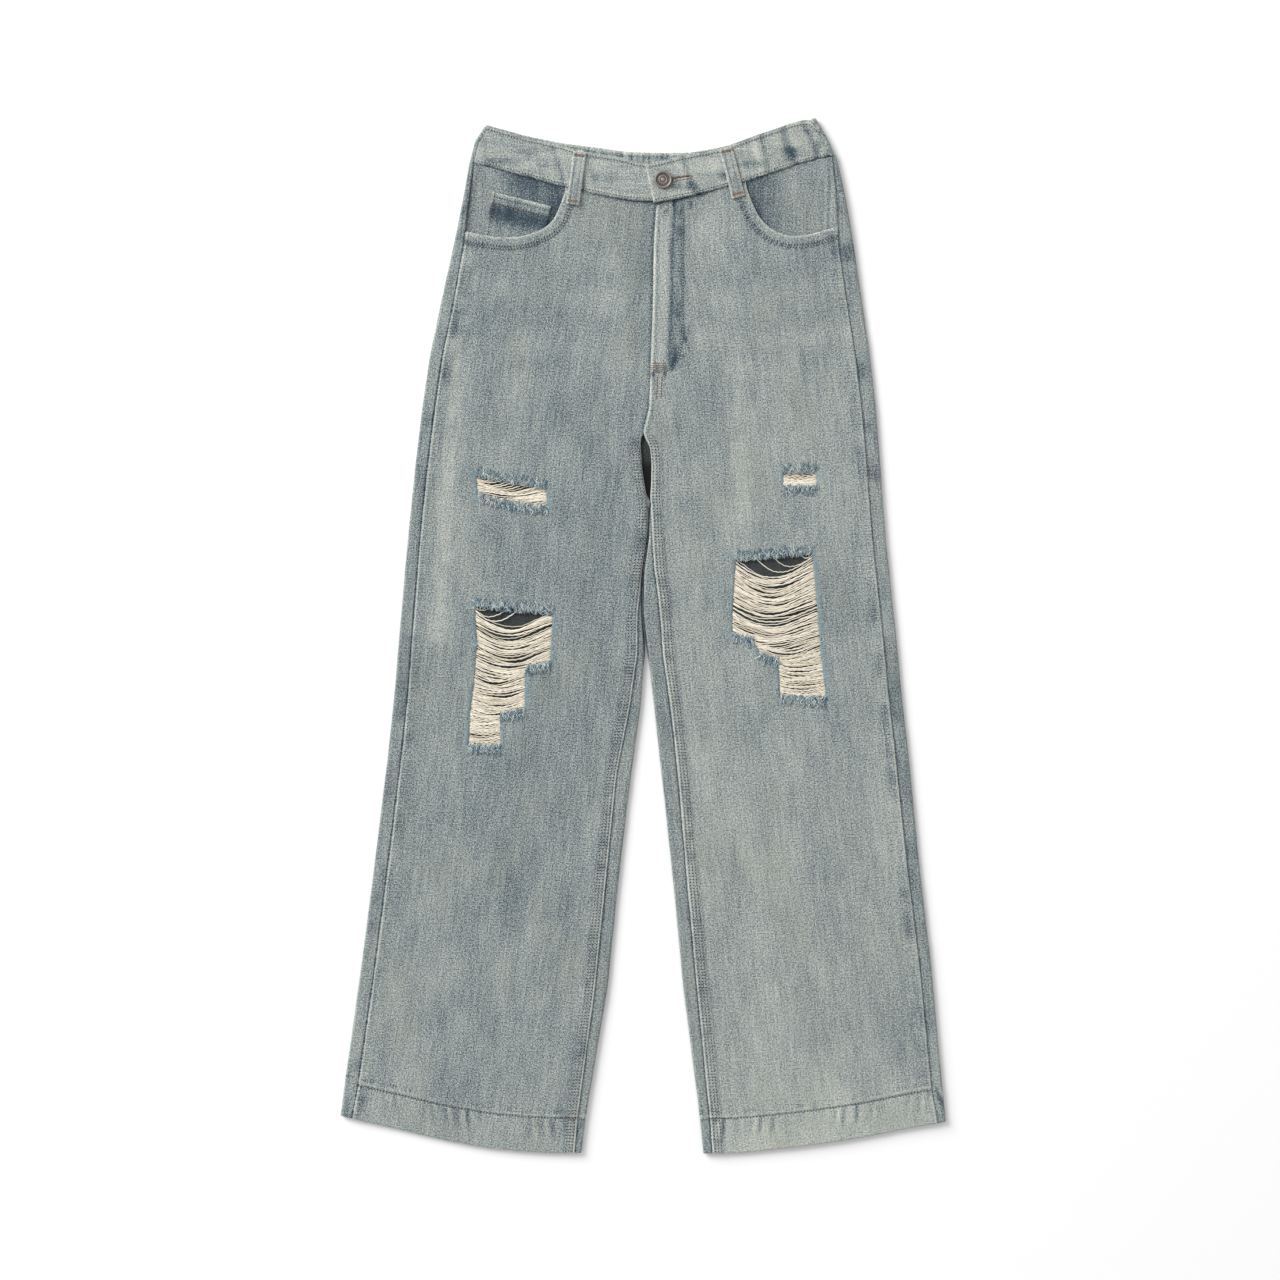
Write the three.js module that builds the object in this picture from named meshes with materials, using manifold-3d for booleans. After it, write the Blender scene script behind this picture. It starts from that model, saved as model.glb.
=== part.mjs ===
// Ripped wide-leg jeans laid flat on z = 0 with the front up.
// Millimetres. +X is the wearer's left, +Y the waist, +Z up off the surface they lie on.
// Each leg is a flattened tube: the back panel is the underside, and wraps round both folds on to the
// top, where it meets the front panel at the side seam and the inseam.
import * as THREE from "three";
import { mergeVertices } from "three/addons/utils/BufferGeometryUtils.js";
import Module from "manifold-3d";

const wasm = await Module();
wasm.setup();

// ---- Cloth -------------------------------------------------------------------------------------
const WALL = 1.0; // one ply of denim
const HEM_WALL = 1.8; // the hem, turned up inside and pressed
const BAND_WALL = 2.0; // the waistband, folded on itself
const LOOP_WALL = 1.6; // a belt loop, folded strip
const GAP = 0.3; // clearance between neighbouring pieces
const BAND_GAP = 0.45; // the same under the waistband, whose pieces follow a tighter curve
const LAYER = WALL + GAP; // height that one more ply adds
const FOLD_RADIUS = 2.5; // outside of the folds along the legs and hips
const BAND_FOLD_RADIUS = 2.4; // outside of the folds of the waistband
const FOLD_REACH = 22; // how far a fold's extra height fades out across the cloth
const LOFT_LEG = 1.3; // air between front and back along the legs, over the least
const LOFT_HIP = 0.5; // the same round the hips
const BACK_LIFT = 1.3; // height of the back over its patch pockets and belt loops
const QUARTER = (Math.PI / 2) * FOLD_RADIUS;
const BAND_QUARTER = (Math.PI / 2) * BAND_FOLD_RADIUS;

// ---- Heights up the garment --------------------------------------------------------------------
const CROTCH_BACK = 140; // lower end of the joined centre back seam
const HEM_DEPTH = 34.5; // hem stitching above the lower edge
const PANEL_TOP = 388; // rows of the front and back panels agree from here down
const HEM_LEVEL = -465; // mean height of the hem stitching
const YOKE_SIDE = 441; // lower edge of the back yoke at the side folds
const YOKE_CENTRE = 406; // the same at the centre back
const YOKE_REACH = 183; // half the width over which the yoke's edge falls
const LEVELS = [PANEL_TOP, 330, 275, 228, 203, 195, 186, 170, 150, 140, 130, 105, 72, 30, -12, -62, -130,
  -230, -340, HEM_LEVEL]; // rows of the panels, close together round the crotch
// Heights between which one shape eases into another, the full effect at the second.
const HIP_ZONE = [150, 330]; // the legs' loft gives way to the hips'
const HEM_ZONE = [-430, -475]; // the turned hem lifts the front
const CALM_ZONE = [445, 395]; // creases start below the waistband
const INNER_RISE_ZONE = [260, 200]; // the front rises towards the inner fold
const FRONT_CURL_ZONE = [202, 190]; // the front's inner edge curls down the fold
const BACK_CURL_ZONE = [CROTCH_BACK + 8, CROTCH_BACK - 8]; // the back starts to turn up the inner fold
// Distances over which one ply rides up on another, the full height at the second.
const BAND_RAMP = [40, 14]; // below the waistband
const POCKET_RAMP = [34, 14]; // round a patch pocket
const COIN_RAMP = [34, 18]; // round the coin pocket
const FACING_RAMP = [46, 30]; // round a pocket mouth
const SEAM_RAMP = [24, 14]; // past the fly's edge, over the right front's underlap
const FLY_RAMP = [60, 43]; // x across the fly facing
const FLY_RISE_ZONE = [203, 228];
const SEAM_RISE_ZONE = [190, 202];
const OVERLAP_RAMP = [64, 44]; // x across the waistband's overlap

// ---- Creases -----------------------------------------------------------------------------------
const WAVE = { height: 0.28, across: 31, down: 140, downBeat: 95, acrossBeat: 120 };
const RIDGE = { height: 0.9, halfWidth: 7, fade: 30 };
const RIDGES = [{ x: 97, bottom: 70, top: 200 }, { x: -186, bottom: 60, top: 190 }];

// ---- Small parts -------------------------------------------------------------------------------
const POCKET_UNDERLAP = 12; // facing hidden under the pocket mouth
const COIN_REACH = { x: -128, halfWidth: 33, bottom: 391 }; // box of the coin pocket
const BACK_POCKET = { x: 92, y: 312, halfWidth: 62, halfHeight: 68, point: 22, taper: 5 };
const LOOP_WIDTH = 13;
const BACK_LOOP_LENGTH = 52;
const BACK_LOOP_X = [-104, 0, 108];
const BUTTON = { x: 18.5, y: 455.5, radius: 8.8, capHeight: 2.6, shankRadius: 3, clearance: 0.4 };
const BUTTONHOLE = { eyelet: 3.6, slitWidth: 1.6, endX: 45.5, endY: 459 };
const OVERLAP_END = 36; // inner end of the waistband's underlap
const LOOP_BOW = { height: 0.8, end: 0.86 }; // a front loop stands off the band, as far as its lower tack
const LOOP_CLEARANCE = 0.4; // between a front loop and what it lies on
const BAND_INSET = 4.5; // the band's side seam inside its fold
const BAND_FRONT_EDGE = { top: 471, bottom: 432.5, topX: 1, bottomX: 9.5 }; // free end of the overlap
const UNDERLAP_TRIM = 2; // the underlap's lower edge stands this much higher than the overlap's
const CENTRE_STEP = 7; // stepped stretch of the back beside its centre seam
const PRISM = { from: -20, depth: 60 }; // cutting solids reach past the cloth
const BEYOND = { x: 240, y: 520 }; // outside the garment
const POCKET_ROWS = 7; // rows of a front panel above PANEL_TOP
const SETTLE_PASSES = 6; // enough for a row's height to settle to a hundredth of a millimetre
const PANEL_MIDDLE = 100; // x about the middle of a panel, where a row's height starts to settle
const BAND_MIDDLE = 80; // the same on the waistband
const MOUTH_STEPS = 18; // straight stretches along a pocket mouth
const ROUND_STEPS = 24; // flat faces round the button and its eyelet
const YOKE_SHARES = [0, 0.45, 1]; // rows of the yoke, from the band to its lower edge
const LOOP_LOOK_UP = 3; // a loop's height is taken this much further up the garment

/** Smooth curve through [position, value] points that never overshoots them. */
function curveThrough(points) {
  const knots = [...points].sort((a, b) => a[0] - b[0]);
  const slopes = knots.slice(1).map((k, i) => (k[1] - knots[i][1]) / (k[0] - knots[i][0]));
  const tangents = knots.map((_, i) => {
    if (i === 0) return slopes[0];
    if (i === knots.length - 1) return slopes[i - 1];
    const [before, after] = [slopes[i - 1], slopes[i]];
    return before * after <= 0 ? 0 : (2 * before * after) / (before + after);
  });
  return (position) => {
    if (position <= knots[0][0]) return knots[0][1] + tangents[0] * (position - knots[0][0]);
    const last = knots.length - 1;
    if (position >= knots[last][0]) return knots[last][1] + tangents[last] * (position - knots[last][0]);
    const i = knots.findIndex((k) => k[0] > position) - 1;
    const width = knots[i + 1][0] - knots[i][0];
    const t = (position - knots[i][0]) / width;
    const bend0 = t * (1 - t) ** 2 * width * tangents[i];
    const bend1 = t * t * (t - 1) * width * tangents[i + 1];
    const step = t * t * (3 - 2 * t);
    return knots[i][1] * (1 - step) + knots[i + 1][1] * step + bend0 + bend1;
  };
}

/** 0 before start, 1 after end, eased between; start may lie after end. */
function ease(start, end, value) {
  const t = THREE.MathUtils.clamp((value - start) / (end - start), 0, 1);
  return t * t * (3 - 2 * t);
}

// ---- Outlines ----------------------------------------------------------------------------------
// outer and inner: x of the folds at a height y. sideInset: side seam inside the outer fold.
// inseam: seam below the crest of the inner fold, along the cloth; negative is on top of the leg.
// bandSeam: lower edge of the front waistband at x. hem: lower edge of the leg at x.
const RIGHT = {
  name: "right",
  out: -1,
  outer: curveThrough([[476, -174.5], [441, -180.5], [392, -190.5], [342, -201.5], [290, -213],
    [217, -223.5], [117, -234.5], [-4, -245.5], [-64, -250.5], [-184, -264.5], [-304, -279.5],
    [-424, -296.5], [-478, -303.5]]),
  sideInset: curveThrough([[476, 4.5], [435, 6.5], [392, 10], [340, 12.5], [117, 12], [-124, 13.5],
    [-440, 13.5], [-481, 11.5]]),
  inner: curveThrough([[195, -4], [169, -3], [134, 2.6], [118, 3.4], [98, 2.6], [72, -2], [36, -3.5],
    [-14, 0], [-72, -3.5], [-96, -5], [-130, -12], [-196, -21], [-300, -31], [-377, -40], [-434, -49.5],
    [-476, -58], [-515, -63]]),
  inseam: curveThrough([[195, 5.5], [60, 4.5], [28, 0], [-14, -3.5], [-65, -7.5], [-121, -11.5],
    [-245, -9.5], [-403, -9.5], [-477, -5], [-515, -3.5]]),
  bandSeam: curveThrough([[-175, 474], [-120, 460], [-62, 444.8], [5, 434.5], [20, 434.7], [36, 438]]),
  bandTop: curveThrough([[-158.5, 510.5], [-113, 497], [-95.5, 493.5], [-57.5, 483.5], [-18.5, 477.5],
    [0.5, 471.5], [20, 472.5], [36, 475.5]]),
  bandOuter: curveThrough([[474, -174.3], [489, -171.2], [506.5, -162.5], [511, -158]]),
  hem: curveThrough([[-303.5, -477.5], [-292, -481], [-254, -489.5], [-194, -503.5], [-142, -512],
    [-82, -515.5], [-63, -514.5]]),
};
const LEFT = {
  name: "left",
  out: 1,
  outer: curveThrough([[479, 191.5], [441, 200.5], [391, 209], [341, 216.5], [241, 230], [166, 236],
    [116, 239.5], [56, 245.5], [-4, 252], [-64, 257.5], [-124, 264.5], [-214, 273], [-334, 287],
    [-454, 298], [-485, 301.5]]),
  sideInset: curveThrough([[479, 4.5], [432, 10], [380, 15], [290, 14.5], [160, 13], [-130, 12.5],
    [-300, 11], [-450, 10.5], [-486, 8]]),
  inner: curveThrough([[195, 5.8], [180, 6.8], [157, 7.8], [137, 5.4], [103, 4.8], [85, 1.5], [72, -0.6],
    [16, -1.4], [-14, 3], [-85, 11], [-147, 18], [-208, 25], [-307, 34.1], [-377, 41.5], [-453, 52],
    [-515, 58.5]]),
  inseam: curveThrough([[195, 5.5], [140, 4.5], [126, 1.5], [103, 0.8], [72, -6.5], [45, -11],
    [16, -14.5], [-14, -11.5], [-65, -13.5], [-121, -13.5], [-228, -11], [-361, -10.5], [-403, -9],
    [-515, -6.2]]),
  bandSeam: curveThrough([[9.5, 433], [48.5, 440.7], [84, 450.2], [100, 454.6], [132, 465],
    [161.5, 474.5], [188, 479.5]]),
  bandTop: curveThrough([[1, 471], [19, 475.2], [44, 481], [63, 484.7], [86.5, 490.5], [107, 498.5],
    [132, 506.7], [161.5, 515.5], [172, 515.5]]),
  bandOuter: curveThrough([[479.5, 190.5], [486, 187.2], [498.5, 182], [512.5, 174.7], [516, 171.5]]),
  hem: curveThrough([[58.5, -515], [76.5, -516], [142.5, -510.5], [214, -500.8], [267.5, -490],
    [301.5, -484.5]]),
};
// Visible front edge of the fly and of the seam below it, which ends at the crotch.
const flyEdge = curveThrough([[434, 12], [388, 9], [328, 8], [277, 6], [249, 7], [233, 6], [211.5, -0.8],
  [195.5, -3.7]]);
// The right front runs on under the left one as far as this past that edge.
const flyUnderlap = curveThrough([[434, 10], [250, 10], [228, 6], [203, 0], [195, 0]]);
const centreBack = curveThrough([[445, 0], [260, 0], [200, 1], [CROTCH_BACK, 4]]);
const backBandSeam = curveThrough([[-174, 475], [-80, 453], [0, 446], [80, 456], [188, 480.5]]);
const backBandTop = curveThrough([[-158, 510.5], [-95, 494.5], [-48, 488], [-14, 483.5], [38, 482.5],
  [75, 488], [107, 498.5], [132, 506.7], [161, 515.5], [172, 515.5]]);

/** Mouth of a front pocket, from the waistband round to the side seam. */
const POCKET_MOUTH = {
  right: [[-78, 449], [-82, 436], [-94.5, 411.5], [-121.5, 399.5], [-150, 398.7], [-179, 404.5]],
  left: [[100, 456], [104.5, 441], [117, 415.5], [136.5, 402], [160, 400.5], [196, 410.5]],
};
const COIN_POCKET = [[-151.8, 444], [-93.6, 429.5], [-101, 397], [-160.5, 392]];
const FLY_FACING = [[24, 440], [38.5, 442], [38.5, 300], [36, 282], [30, 270], [21, 266.5]];

/** The cut edges of the four rips. */
const RIPS = {
  rip_threads_thigh_right: [[-168.5, 162.5], [-98.5, 150], [-96.5, 127.5], [-130, 131], [-166.5, 140.5]],
  rip_threads_thigh_left: [[138.5, 165.5], [171.5, 166], [171.5, 148.5], [138.5, 148]],
  rip_threads_knee_right: [[-170, 31.5], [-91.5, 24.5], [-94, -27], [-119, -33], [-119.5, -75],
    [-144, -79], [-144, -112], [-176, -110], [-174.5, -77], [-170.5, -45], [-167.5, -7]],
  rip_threads_knee_left: [[91.5, 78.5], [168, 84.5], [170.5, 56.5], [176.5, -17.5], [181.5, -63.5],
    [135.5, -61.5], [133.5, -23.5], [115.5, -18.5], [108.5, -3.5], [87.5, 0.5], [87.5, 20], [89.5, 59]],
};
/** Heights between which the panels' rows cover a rip. */
const WEB_ROWS = { thigh: { top: 190, bottom: 100 }, knee: { top: 110, bottom: -240 } };
/** Where the threads of a rip sag apart and leave a clear gap. */
const RIP_GAPS = {
  rip_threads_thigh_right: [[-142, 155], [-106, 149.6], [-104, 146], [-126, 148], [-141, 152.5]],
  rip_threads_knee_right: [[-160, 28], [-100, 22.5], [-112, 15.5], [-130, 13.5], [-148, 17.5]],
  rip_threads_knee_left: [[101, 77], [150, 79.5], [142, 70.5], [125, 66.5], [109, 69.5]],
};

// ---- Heights of the layers ---------------------------------------------------------------------
/** Height of the back's underside just below the waistband, where the belt loops lie under it. */
function bandLift(x, y) {
  const seam = backBandSeam(x);
  return BACK_LIFT * ease(...BAND_RAMP, seam - y);
}

/** Height of the back's underside over a patch pocket. */
function pocketLift(x, y) {
  const dx = Math.max(Math.abs(Math.abs(x) - BACK_POCKET.x) - BACK_POCKET.halfWidth, 0);
  const dy = Math.max(Math.abs(y - BACK_POCKET.y) - BACK_POCKET.halfHeight, 0);
  return BACK_LIFT * ease(...POCKET_RAMP, Math.hypot(dx, dy));
}

/** Height of the back's underside. */
function backUnder(x, y) {
  return Math.max(bandLift(x, y), pocketLift(x, y));
}

/** x of the crest of the outer fold. */
function outerCrest(side, y) {
  return side.outer(y) - side.out * FOLD_RADIUS;
}

/** x of the crest of the inner fold. */
function innerCrest(side, y) {
  return side.inner(y) + side.out * FOLD_RADIUS;
}

/** Height of the underside of the outer fold. */
function foldLift(side, y) {
  return bandLift(outerCrest(side, y), y);
}

/** Long soft waves and pressed creases of the front. */
function creases(x, y) {
  const beat = Math.cos(y / WAVE.downBeat - x / WAVE.acrossBeat);
  let height = WAVE.height * Math.sin(x / WAVE.across + y / WAVE.down) * beat;
  for (const { x: centre, bottom, top } of RIDGES) {
    const along = ease(top, top - RIDGE.fade, y) * ease(bottom, bottom + RIDGE.fade, y);
    height += RIDGE.height * along * Math.exp(-(((x - centre) / RIDGE.halfWidth) ** 2));
  }
  return height;
}

/** Height of the top face of a front ply that has nothing but the back under it. */
function baseTop(side, x, y) {
  const crest = foldLift(side, y) + 2 * FOLD_RADIUS;
  const loft = THREE.MathUtils.lerp(LOFT_LEG, LOFT_HIP, ease(...HIP_ZONE, y)) + ease(...HEM_ZONE, y);
  const calm = ease(...CALM_ZONE, y);
  const middle = backUnder(x, y) + 2 * WALL + GAP + loft + creases(x, y) * calm;
  const fromOuter = Math.max(0, side.out * (outerCrest(side, y) - x));
  const fromInner = Math.max(0, side.out * (x - innerCrest(side, y)));
  const nearOuter = Math.exp(-fromOuter / FOLD_REACH);
  const nearInner = ease(...INNER_RISE_ZONE, y) * Math.exp(-fromInner / FOLD_REACH);
  return THREE.MathUtils.lerp(middle, crest, Math.min(1, nearOuter + nearInner));
}

/** Least distance in plan from a point to an open line of points. */
function distanceTo(line, x, y) {
  const target = new THREE.Vector3(x, y, 0);
  const segment = new THREE.Line3();
  const nearest = new THREE.Vector3();
  let least = Infinity;
  for (let i = 1; i < line.length; i += 1) {
    segment.start.set(line[i - 1].x, line[i - 1].y, 0);
    segment.end.set(line[i].x, line[i].y, 0);
    segment.closestPointToPoint(target, true, nearest);
    least = Math.min(least, nearest.distanceTo(target));
  }
  return least;
}

/** Points along the smooth mouth of a front pocket. */
function pocketMouth(side) {
  const points = POCKET_MOUTH[side.name].map(([x, y]) => new THREE.Vector2(x, y));
  return new THREE.SplineCurve(points).getPoints(MOUTH_STEPS);
}
const MOUTHS = { right: pocketMouth(RIGHT), left: pocketMouth(LEFT) };

/** Plies that a front panel rides over at a point: pocket facing, coin pocket and fly. */
function pliesUnderFront(side, x, y) {
  const facing = ease(...FACING_RAMP, distanceTo(MOUTHS[side.name], x, y));
  if (side === RIGHT) {
    const coinX = Math.max(Math.abs(x - COIN_REACH.x) - COIN_REACH.halfWidth, 0);
    const coinY = Math.max(COIN_REACH.bottom - y, 0);
    return facing + ease(...COIN_RAMP, Math.hypot(coinX, coinY));
  }
  const fly = ease(...FLY_RAMP, x) * ease(...FLY_RISE_ZONE, y);
  const seam = ease(...SEAM_RAMP, x - flyEdge(y)) * ease(...SEAM_RISE_ZONE, y);
  return facing + Math.max(fly, seam);
}

// ---- Solids ------------------------------------------------------------------------------------
/** Closed body between two faces, each a grid of rows of [x, y, z]. */
function gridSolid(outerFace, innerFace) {
  const rows = outerFace.length;
  const columns = outerFace[0].length;
  const positions = [...outerFace.flat(2), ...innerFace.flat(2)];
  const at = (face, r, c) => face * rows * columns + r * columns + c;
  const index = [];
  const quad = (a, b, c, d) => index.push(a, b, c, a, c, d);
  for (let r = 0; r + 1 < rows; r += 1) {
    for (let c = 0; c + 1 < columns; c += 1) {
      quad(at(0, r, c), at(0, r + 1, c), at(0, r + 1, c + 1), at(0, r, c + 1));
      quad(at(1, r, c), at(1, r, c + 1), at(1, r + 1, c + 1), at(1, r + 1, c));
    }
    quad(at(0, r, 0), at(1, r, 0), at(1, r + 1, 0), at(0, r + 1, 0));
    quad(at(0, r, columns - 1), at(0, r + 1, columns - 1), at(1, r + 1, columns - 1), at(1, r, columns - 1));
  }
  for (let c = 0; c + 1 < columns; c += 1) {
    quad(at(0, 0, c), at(0, 0, c + 1), at(1, 0, c + 1), at(1, 0, c));
    quad(at(0, rows - 1, c), at(1, rows - 1, c), at(1, rows - 1, c + 1), at(0, rows - 1, c + 1));
  }
  const geometry = new THREE.BufferGeometry();
  geometry.setAttribute("position", new THREE.Float32BufferAttribute(positions, 3));
  geometry.setIndex(signedVolume(positions, index) < 0 ? index.reverse() : index);
  return geometry;
}

/** Six times the volume inside a triangle mesh, negative when its faces point in. */
function signedVolume(positions, index) {
  const corner = (i) => new THREE.Vector3().fromArray(positions, 3 * index[i]);
  let volume = 0;
  for (let i = 0; i < index.length; i += 3) {
    volume += corner(i).dot(corner(i + 1).cross(corner(i + 2)));
  }
  return volume;
}

/** The same body as a solid for cutting. */
function toSolid(geometry) {
  const bare = geometry.clone();
  bare.deleteAttribute("normal");
  bare.deleteAttribute("uv");
  const merged = mergeVertices(bare, 1e-4);
  const mesh = new wasm.Mesh({
    numProp: 3,
    vertProperties: new Float32Array(merged.attributes.position.array),
    triVerts: new Uint32Array(merged.index.array),
  });
  return new wasm.Manifold(mesh);
}

/** The mesh of a cut solid. */
function toGeometry(solid) {
  const mesh = solid.getMesh();
  const geometry = new THREE.BufferGeometry();
  geometry.setAttribute("position", new THREE.BufferAttribute(new Float32Array(mesh.vertProperties), 3));
  geometry.setIndex(new THREE.BufferAttribute(new Uint32Array(mesh.triVerts), 1));
  return geometry;
}

/** Upright solid of a closed outline, tall enough to cut through any ply. */
function prism(outline) {
  const shape = new THREE.Shape(outline.map((p) => (p.isVector2 ? p : new THREE.Vector2(...p))));
  const geometry = new THREE.ExtrudeGeometry(shape, { depth: PRISM.depth, bevelEnabled: false });
  geometry.translate(0, 0, PRISM.from);
  return toSolid(geometry);
}

/** An outline drawn in by a distance on all sides. */
function insetOutline(outline, distance) {
  const count = outline.length;
  const points = outline.map(([x, y]) => new THREE.Vector2(x, y));
  const turn = THREE.ShapeUtils.isClockWise(points) ? -1 : 1;
  return points.map((point, i) => {
    const before = point.clone().sub(points[(i + count - 1) % count]).normalize();
    const after = points[(i + 1) % count].clone().sub(point).normalize();
    const inward = new THREE.Vector2(-before.y - after.y, before.x + after.x).normalize();
    const reach = (turn * distance) / inward.dot(new THREE.Vector2(-before.y, before.x));
    return point.clone().addScaledVector(inward, reach);
  });
}

// ---- Front of a leg ----------------------------------------------------------------------------
/** x where the front panel would end if the cloth lay flat, and how far it then curls down the fold. */
function frontEnd(side, y) {
  const lap = side === RIGHT ? flyUnderlap(y) - GAP / 2 : GAP / 2;
  const folded = ease(...FRONT_CURL_ZONE, y);
  const x = THREE.MathUtils.lerp(flyEdge(y) + lap, innerCrest(side, y), folded);
  return { x, curl: folded * side.inseam(y) - GAP / 2 };
}

/** A point on the top face and one on the under face of a front ply. */
function frontPoint(side, y, distanceAlong, level, wall) {
  const end = frontEnd(side, y);
  const start = side.outer(y) - side.out * (side.sideInset(y) + GAP / 2);
  const flat = Math.abs(start - end.x);
  const distance = distanceAlong(flat + end.curl);
  if (distance <= flat) {
    const x = start - side.out * distance;
    const z = baseTop(side, x, y) + level(x, y);
    return { top: [x, y, z], under: [x, y, z - wall] };
  }
  const angle = Math.PI / 2 - (distance - flat) / FOLD_RADIUS;
  const middle = FOLD_RADIUS + level(end.x, y);
  const onArc = (radius) => [end.x - side.out * radius * Math.cos(angle), y,
    middle + radius * Math.sin(angle)];
  return { top: onArc(FOLD_RADIUS), under: onArc(FOLD_RADIUS - wall) };
}

// Columns across a front ply: each gives a distance from the side seam for the ply's whole length.
// The last ones are close together, so that the end can curl down the fold.
const END_REACH = 8;
const FRONT_SHARES = [0, 0.08, 0.16, 0.25, 0.35, 0.48, 0.64, 0.78, 0.88, 0.95, 1];
const END_STEPS = [5.4, 3.6, 1.8, 0];
const FRONT_COLUMNS = [
  ...FRONT_SHARES.map((share) => (length) => share * (length - END_REACH)),
  ...END_STEPS.map((short) => (length) => length - short),
];
const POCKET_COLUMNS = FRONT_COLUMNS.slice(0, 7);

/** Rows from a top edge down to PANEL_TOP. */
function upperRows(topEdge, count) {
  return Array.from({ length: count }, (_, i) => ({
    heightAt: (x) => THREE.MathUtils.lerp(topEdge(x), PANEL_TOP, i / count),
    wall: WALL,
  }));
}

/** Rows that the front and back panels share, from PANEL_TOP to the hem's lower edge. */
function legRows(side) {
  const stitch = (x) => side.hem(x) + HEM_DEPTH;
  return [
    ...LEVELS.map((level) => ({
      heightAt: (x) => THREE.MathUtils.mapLinear(level, PANEL_TOP, HEM_LEVEL, PANEL_TOP, stitch(x)),
      wall: WALL,
    })),
    ...[1, HEM_DEPTH].map((drop) => ({ heightAt: (x) => stitch(x) - drop, wall: HEM_WALL })),
  ];
}

/** All rows of a front panel. */
function frontRows(side) {
  return [...upperRows((x) => side.bandSeam(x) - BAND_GAP, POCKET_ROWS), ...legRows(side)];
}

/** Point of a piece that lies on a row: y follows x, which itself depends on y. */
function settle(heightAt, startX, pointAt) {
  let y = heightAt(startX);
  for (let pass = 0; pass < SETTLE_PASSES; pass += 1) y = heightAt(pointAt(y).top[0]);
  return pointAt(y);
}

/** Closed body from rows of points on its outer and inner faces. */
function plySolid(rows) {
  return gridSolid(rows.map((row) => row.map((p) => p.top)), rows.map((row) => row.map((p) => p.under)));
}

/** A front ply on the given rows, raised over the base by level. */
function frontPly(side, rows, level, columns = FRONT_COLUMNS) {
  return plySolid(rows.map(({ heightAt, wall }) => columns.map((distanceAlong) =>
    settle(heightAt, side.out * PANEL_MIDDLE, (y) => frontPoint(side, y, distanceAlong, level, wall)))));
}

/** The closed region outside a pocket's mouth, moved into the panel by a distance. */
function pocketRegion(side, underlap) {
  const mouth = MOUTHS[side.name];
  const moved = mouth.map((point, i) => {
    const next = mouth[Math.min(i + 1, mouth.length - 1)];
    const last = mouth[Math.max(i - 1, 0)];
    const along = next.clone().sub(last).normalize();
    const inward = new THREE.Vector2(side.out * along.y, -side.out * along.x);
    return point.clone().addScaledVector(inward, underlap);
  });
  const far = side.out * BEYOND.x;
  moved.unshift(new THREE.Vector2(moved[0].x, BEYOND.y));
  moved.push(new THREE.Vector2(far, moved[moved.length - 1].y), new THREE.Vector2(far, BEYOND.y));
  return moved;
}

/** Front leg panel with its pocket mouth and its rips cut out. */
function frontPanel(side) {
  const level = (x, y) => LAYER * pliesUnderFront(side, x, y);
  let solid = toSolid(frontPly(side, frontRows(side), level)).subtract(prism(pocketRegion(side, 0)));
  for (const [name, outline] of Object.entries(RIPS)) {
    if (name.endsWith(side.name)) solid = solid.subtract(prism(outline));
  }
  return toGeometry(solid);
}

/** Cross threads that still span a rip, as one thin web with its clear gap. */
function ripWeb(side, name) {
  const { top, bottom } = name.includes("thigh") ? WEB_ROWS.thigh : WEB_ROWS.knee;
  const rows = legRows(side).filter(({ heightAt }) => heightAt(0) < top && heightAt(0) > bottom);
  const ply = toSolid(frontPly(side, rows, () => 0));
  let solid = ply.intersect(prism(insetOutline(RIPS[name], GAP)));
  if (RIP_GAPS[name]) solid = solid.subtract(prism(RIP_GAPS[name]));
  return toGeometry(solid);
}

/** Denim facing seen in a front pocket's mouth. */
function pocketFacing(side) {
  const rows = frontRows(side).slice(0, POCKET_ROWS + 2);
  const ply = toSolid(frontPly(side, rows, () => 0, POCKET_COLUMNS));
  return toGeometry(ply.intersect(prism(pocketRegion(side, POCKET_UNDERLAP))));
}

/** Coin pocket, one ply over the right facing. */
function coinPocket() {
  const rows = frontRows(RIGHT).slice(0, POCKET_ROWS + 1);
  const ply = toSolid(frontPly(RIGHT, rows, () => LAYER, POCKET_COLUMNS));
  return toGeometry(ply.intersect(prism(COIN_POCKET)));
}

/** Fly facing behind the left front, beside the right front's underlap. */
function flyFacing() {
  const rows = frontRows(LEFT).slice(0, POCKET_ROWS + 4);
  const ply = toSolid(frontPly(LEFT, rows, () => 0));
  return toGeometry(ply.intersect(prism(FLY_FACING)));
}

// ---- Back of a leg -----------------------------------------------------------------------------
/** A point on the outer face and one on the inner face, round the outer fold from its outermost line. */
function outerFoldPoint(side, y, distance, wall) {
  const centre = { x: outerCrest(side, y), z: foldLift(side, y) + FOLD_RADIUS };
  const run = Math.abs(distance) - QUARTER;
  if (run > 0) {
    const x = centre.x - side.out * run;
    const z = distance > 0 ? baseTop(side, x, y) : backUnder(x, y);
    return { top: [x, y, z], under: [x, y, distance > 0 ? z - wall : z + wall] };
  }
  const angle = distance / FOLD_RADIUS;
  const onArc = (radius) => [centre.x + side.out * radius * Math.cos(angle), y,
    centre.z + radius * Math.sin(angle)];
  return { top: onArc(FOLD_RADIUS), under: onArc(FOLD_RADIUS - wall) };
}

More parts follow.
